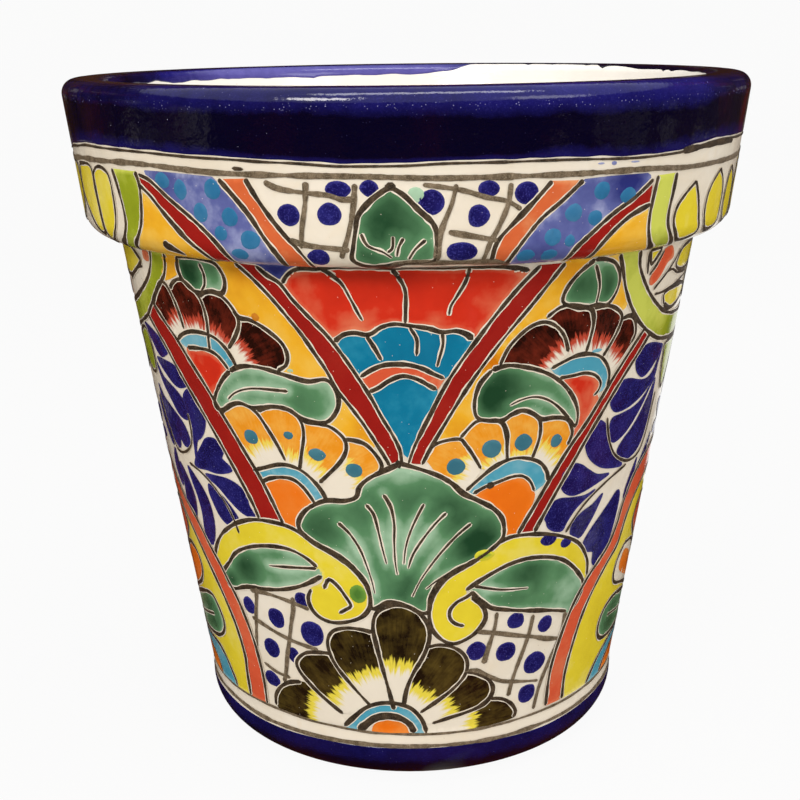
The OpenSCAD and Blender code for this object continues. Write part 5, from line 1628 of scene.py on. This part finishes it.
def pale_sheet():
    """Paper that shines evenly where it is looked at, and is grey paper to the light."""
    f = Finish("pale_sheet")
    rays = ("Is Camera Ray", "Is Glossy Ray", "Is Transmission Ray")
    camera, glossy, through = (f.node("LightPath", {}, {}, ray) for ray in rays)
    seen = camera.most(glossy).most(through)
    paper = f.clouds(3, 2)
    colour = f.mix(paper, "#a9a7a3", "#a5a39f")
    sheet = f.node("BsdfDiffuse", {}, {"Color": colour}, "BSDF")
    return glowing(f, seen * sheet_glow, sheet, (1, 1, 1, 1))


bm = bmesh.new()
row = [bm.verts.new((-sheet_width / 2, y, z)) for y, z in sheet_profile]
edges = [bm.edges.new(pair) for pair in zip(row, row[1:])]
pulled = bmesh.ops.extrude_edge_only(bm, edges=edges)["geom"]
far_side = [g for g in pulled if isinstance(g, bmesh.types.BMVert)]
bmesh.ops.translate(bm, verts=far_side, vec=(sheet_width, 0, 0))
bmesh.ops.recalc_face_normals(bm, faces=bm.faces[:])
studio_sheet = made("studio_sheet", bm, pale_sheet())


def lamp(name, place, aim, size, power, colour=(1, 1, 1)):
    """A soft rectangular lamp, in metres and watts."""
    light = bpy.data.lights.new(name, "AREA")
    light.shape = "RECTANGLE"
    light.size, light.size_y = size
    light.energy = power
    light.color = colour
    holder = bpy.data.objects.new(name, light)
    holder.location = place
    holder.rotation_euler = (Vector(aim) - Vector(place)).to_track_quat("-Z", "Y").to_euler()
    bpy.context.scene.collection.objects.link(holder)


middle = (0, 0, 0.15)
lamp("key_lamp", (-0.8, -1.5, 1.4), middle, (0.6, 0.5), 19.5, (1.0, 0.97, 0.93))
lamp("fill_lamp", (1.3, -1.3, 0.9), middle, (0.8, 0.8), 7)
lamp("top_lamp", (0.1, -0.5, 1.7), middle, (1.3, 0.3), 11)
lamp("right_card", (1.2, 0.6, 0.5), middle, (0.6, 1.0), 6)
world = bpy.data.worlds.new("soft_room")
world.use_nodes = True
room = world.node_tree.nodes["Background"].inputs
room["Color"].default_value = (0.97, 0.98, 1.0, 1)
room["Strength"].default_value = 0.75
bpy.context.scene.world = world
bpy.context.scene.view_settings.view_transform = "Standard"

# Felt screen: a wall and a floor of dark felt about the pot, higher behind it, which only its gloss sees.
# Studios hang one up so that a glossy thing keeps its deep colours and gets clear edges.
# The floor is open at the right and behind, and two dim panes shine in the wall.
screen_r = 1.0
screen_inner_r = 0.083
felt_ring_r = 0.35
felt_z = 0.0005
screen_low = 0.45
screen_rise = 0.85
felt_gap = (140, 165)
screen_steps = 72


def dark_felt():
    """Brown felt with red and grey patches, and two panes that shine dimly through it."""
    f = Finish("dark_felt")
    weave = f.clouds(9, 4)
    blot = f.clouds(4, 2)
    tone = f.mix(weave.within(0.35, 0.7), "#150d08", "#4d301c")
    tone = f.mix(blot.within(0.55, 0.7), tone, "#6e2a1c")
    tone = f.mix(f.clouds(5.5, 3).within(0.64, 0.68), tone, "#a39a90")
    felt = f.node("BsdfDiffuse", {}, {"Color": tone}, "BSDF")
    place = f.place()
    across, up = (f.node("SeparateXYZ", {}, {"Vector": place}, axis) for axis in "XZ")
    pane = (across * across).within(0.55, 0.75) * up.within(0.04, 0.06) * (1 - up.within(0.085, 0.105))
    pane = pane * f.clouds(8, 3).within(0.47, 0.66)
    return glowing(f, pane, felt, (1, 0.95, 0.9, 1))


bm = bmesh.new()
for profile, start, end in (([(screen_inner_r, felt_z), (felt_ring_r, felt_z)], 0, 360),
                            ([(felt_ring_r, felt_z), (screen_r, felt_z)], felt_gap[1], felt_gap[0] + 360),
                            ([(screen_r, felt_z), (screen_r, screen_low)], 0, 360)):
    row = [bm.verts.new((0, -r, z)) for r, z in profile]
    edge = bm.edges.new(row)
    bmesh.ops.rotate(bm, matrix=Matrix.Rotation(math.radians(start), 3, "Z"), verts=row)
    bmesh.ops.spin(bm, geom=row + [edge], axis=(0, 0, 1), cent=(0, 0, 0), steps=screen_steps,
                   angle=math.radians(end - start), use_merge=end - start == 360)
for v in bm.verts:
    if v.co.z > screen_low / 2:
        v.co.z += screen_rise * (1 + v.co.y / screen_r) / 2
bmesh.ops.recalc_face_normals(bm, faces=bm.faces[:])
felt_screen = made("felt_screen", bm, dark_felt(), smooth=False)
felt_screen.visible_camera = False
felt_screen.visible_diffuse = False
felt_screen.visible_shadow = False

# Camera: in front of the pot and a little above its rim, as a hand-held photograph would be taken.
# Its place, tilt, roll and lens bring the pot's outline onto the one in the photograph.
camera_place = (0, -0.6254, 0.3252)
camera_down = math.radians(15.62)
camera_turn = 0.0069
camera_roll = -0.012
lens = bpy.data.cameras.new("camera")
lens.sensor_width = 36
lens.lens = 60.2
camera = bpy.data.objects.new("camera", lens)
standing = Matrix.Translation(camera_place) @ Matrix.Rotation(camera_turn, 4, "Z")
tilted = standing @ Matrix.Rotation(math.pi / 2 - camera_down, 4, "X")
camera.matrix_world = tilted @ Matrix.Rotation(camera_roll, 4, "Z")
bpy.context.scene.collection.objects.link(camera)
bpy.context.scene.camera = camera
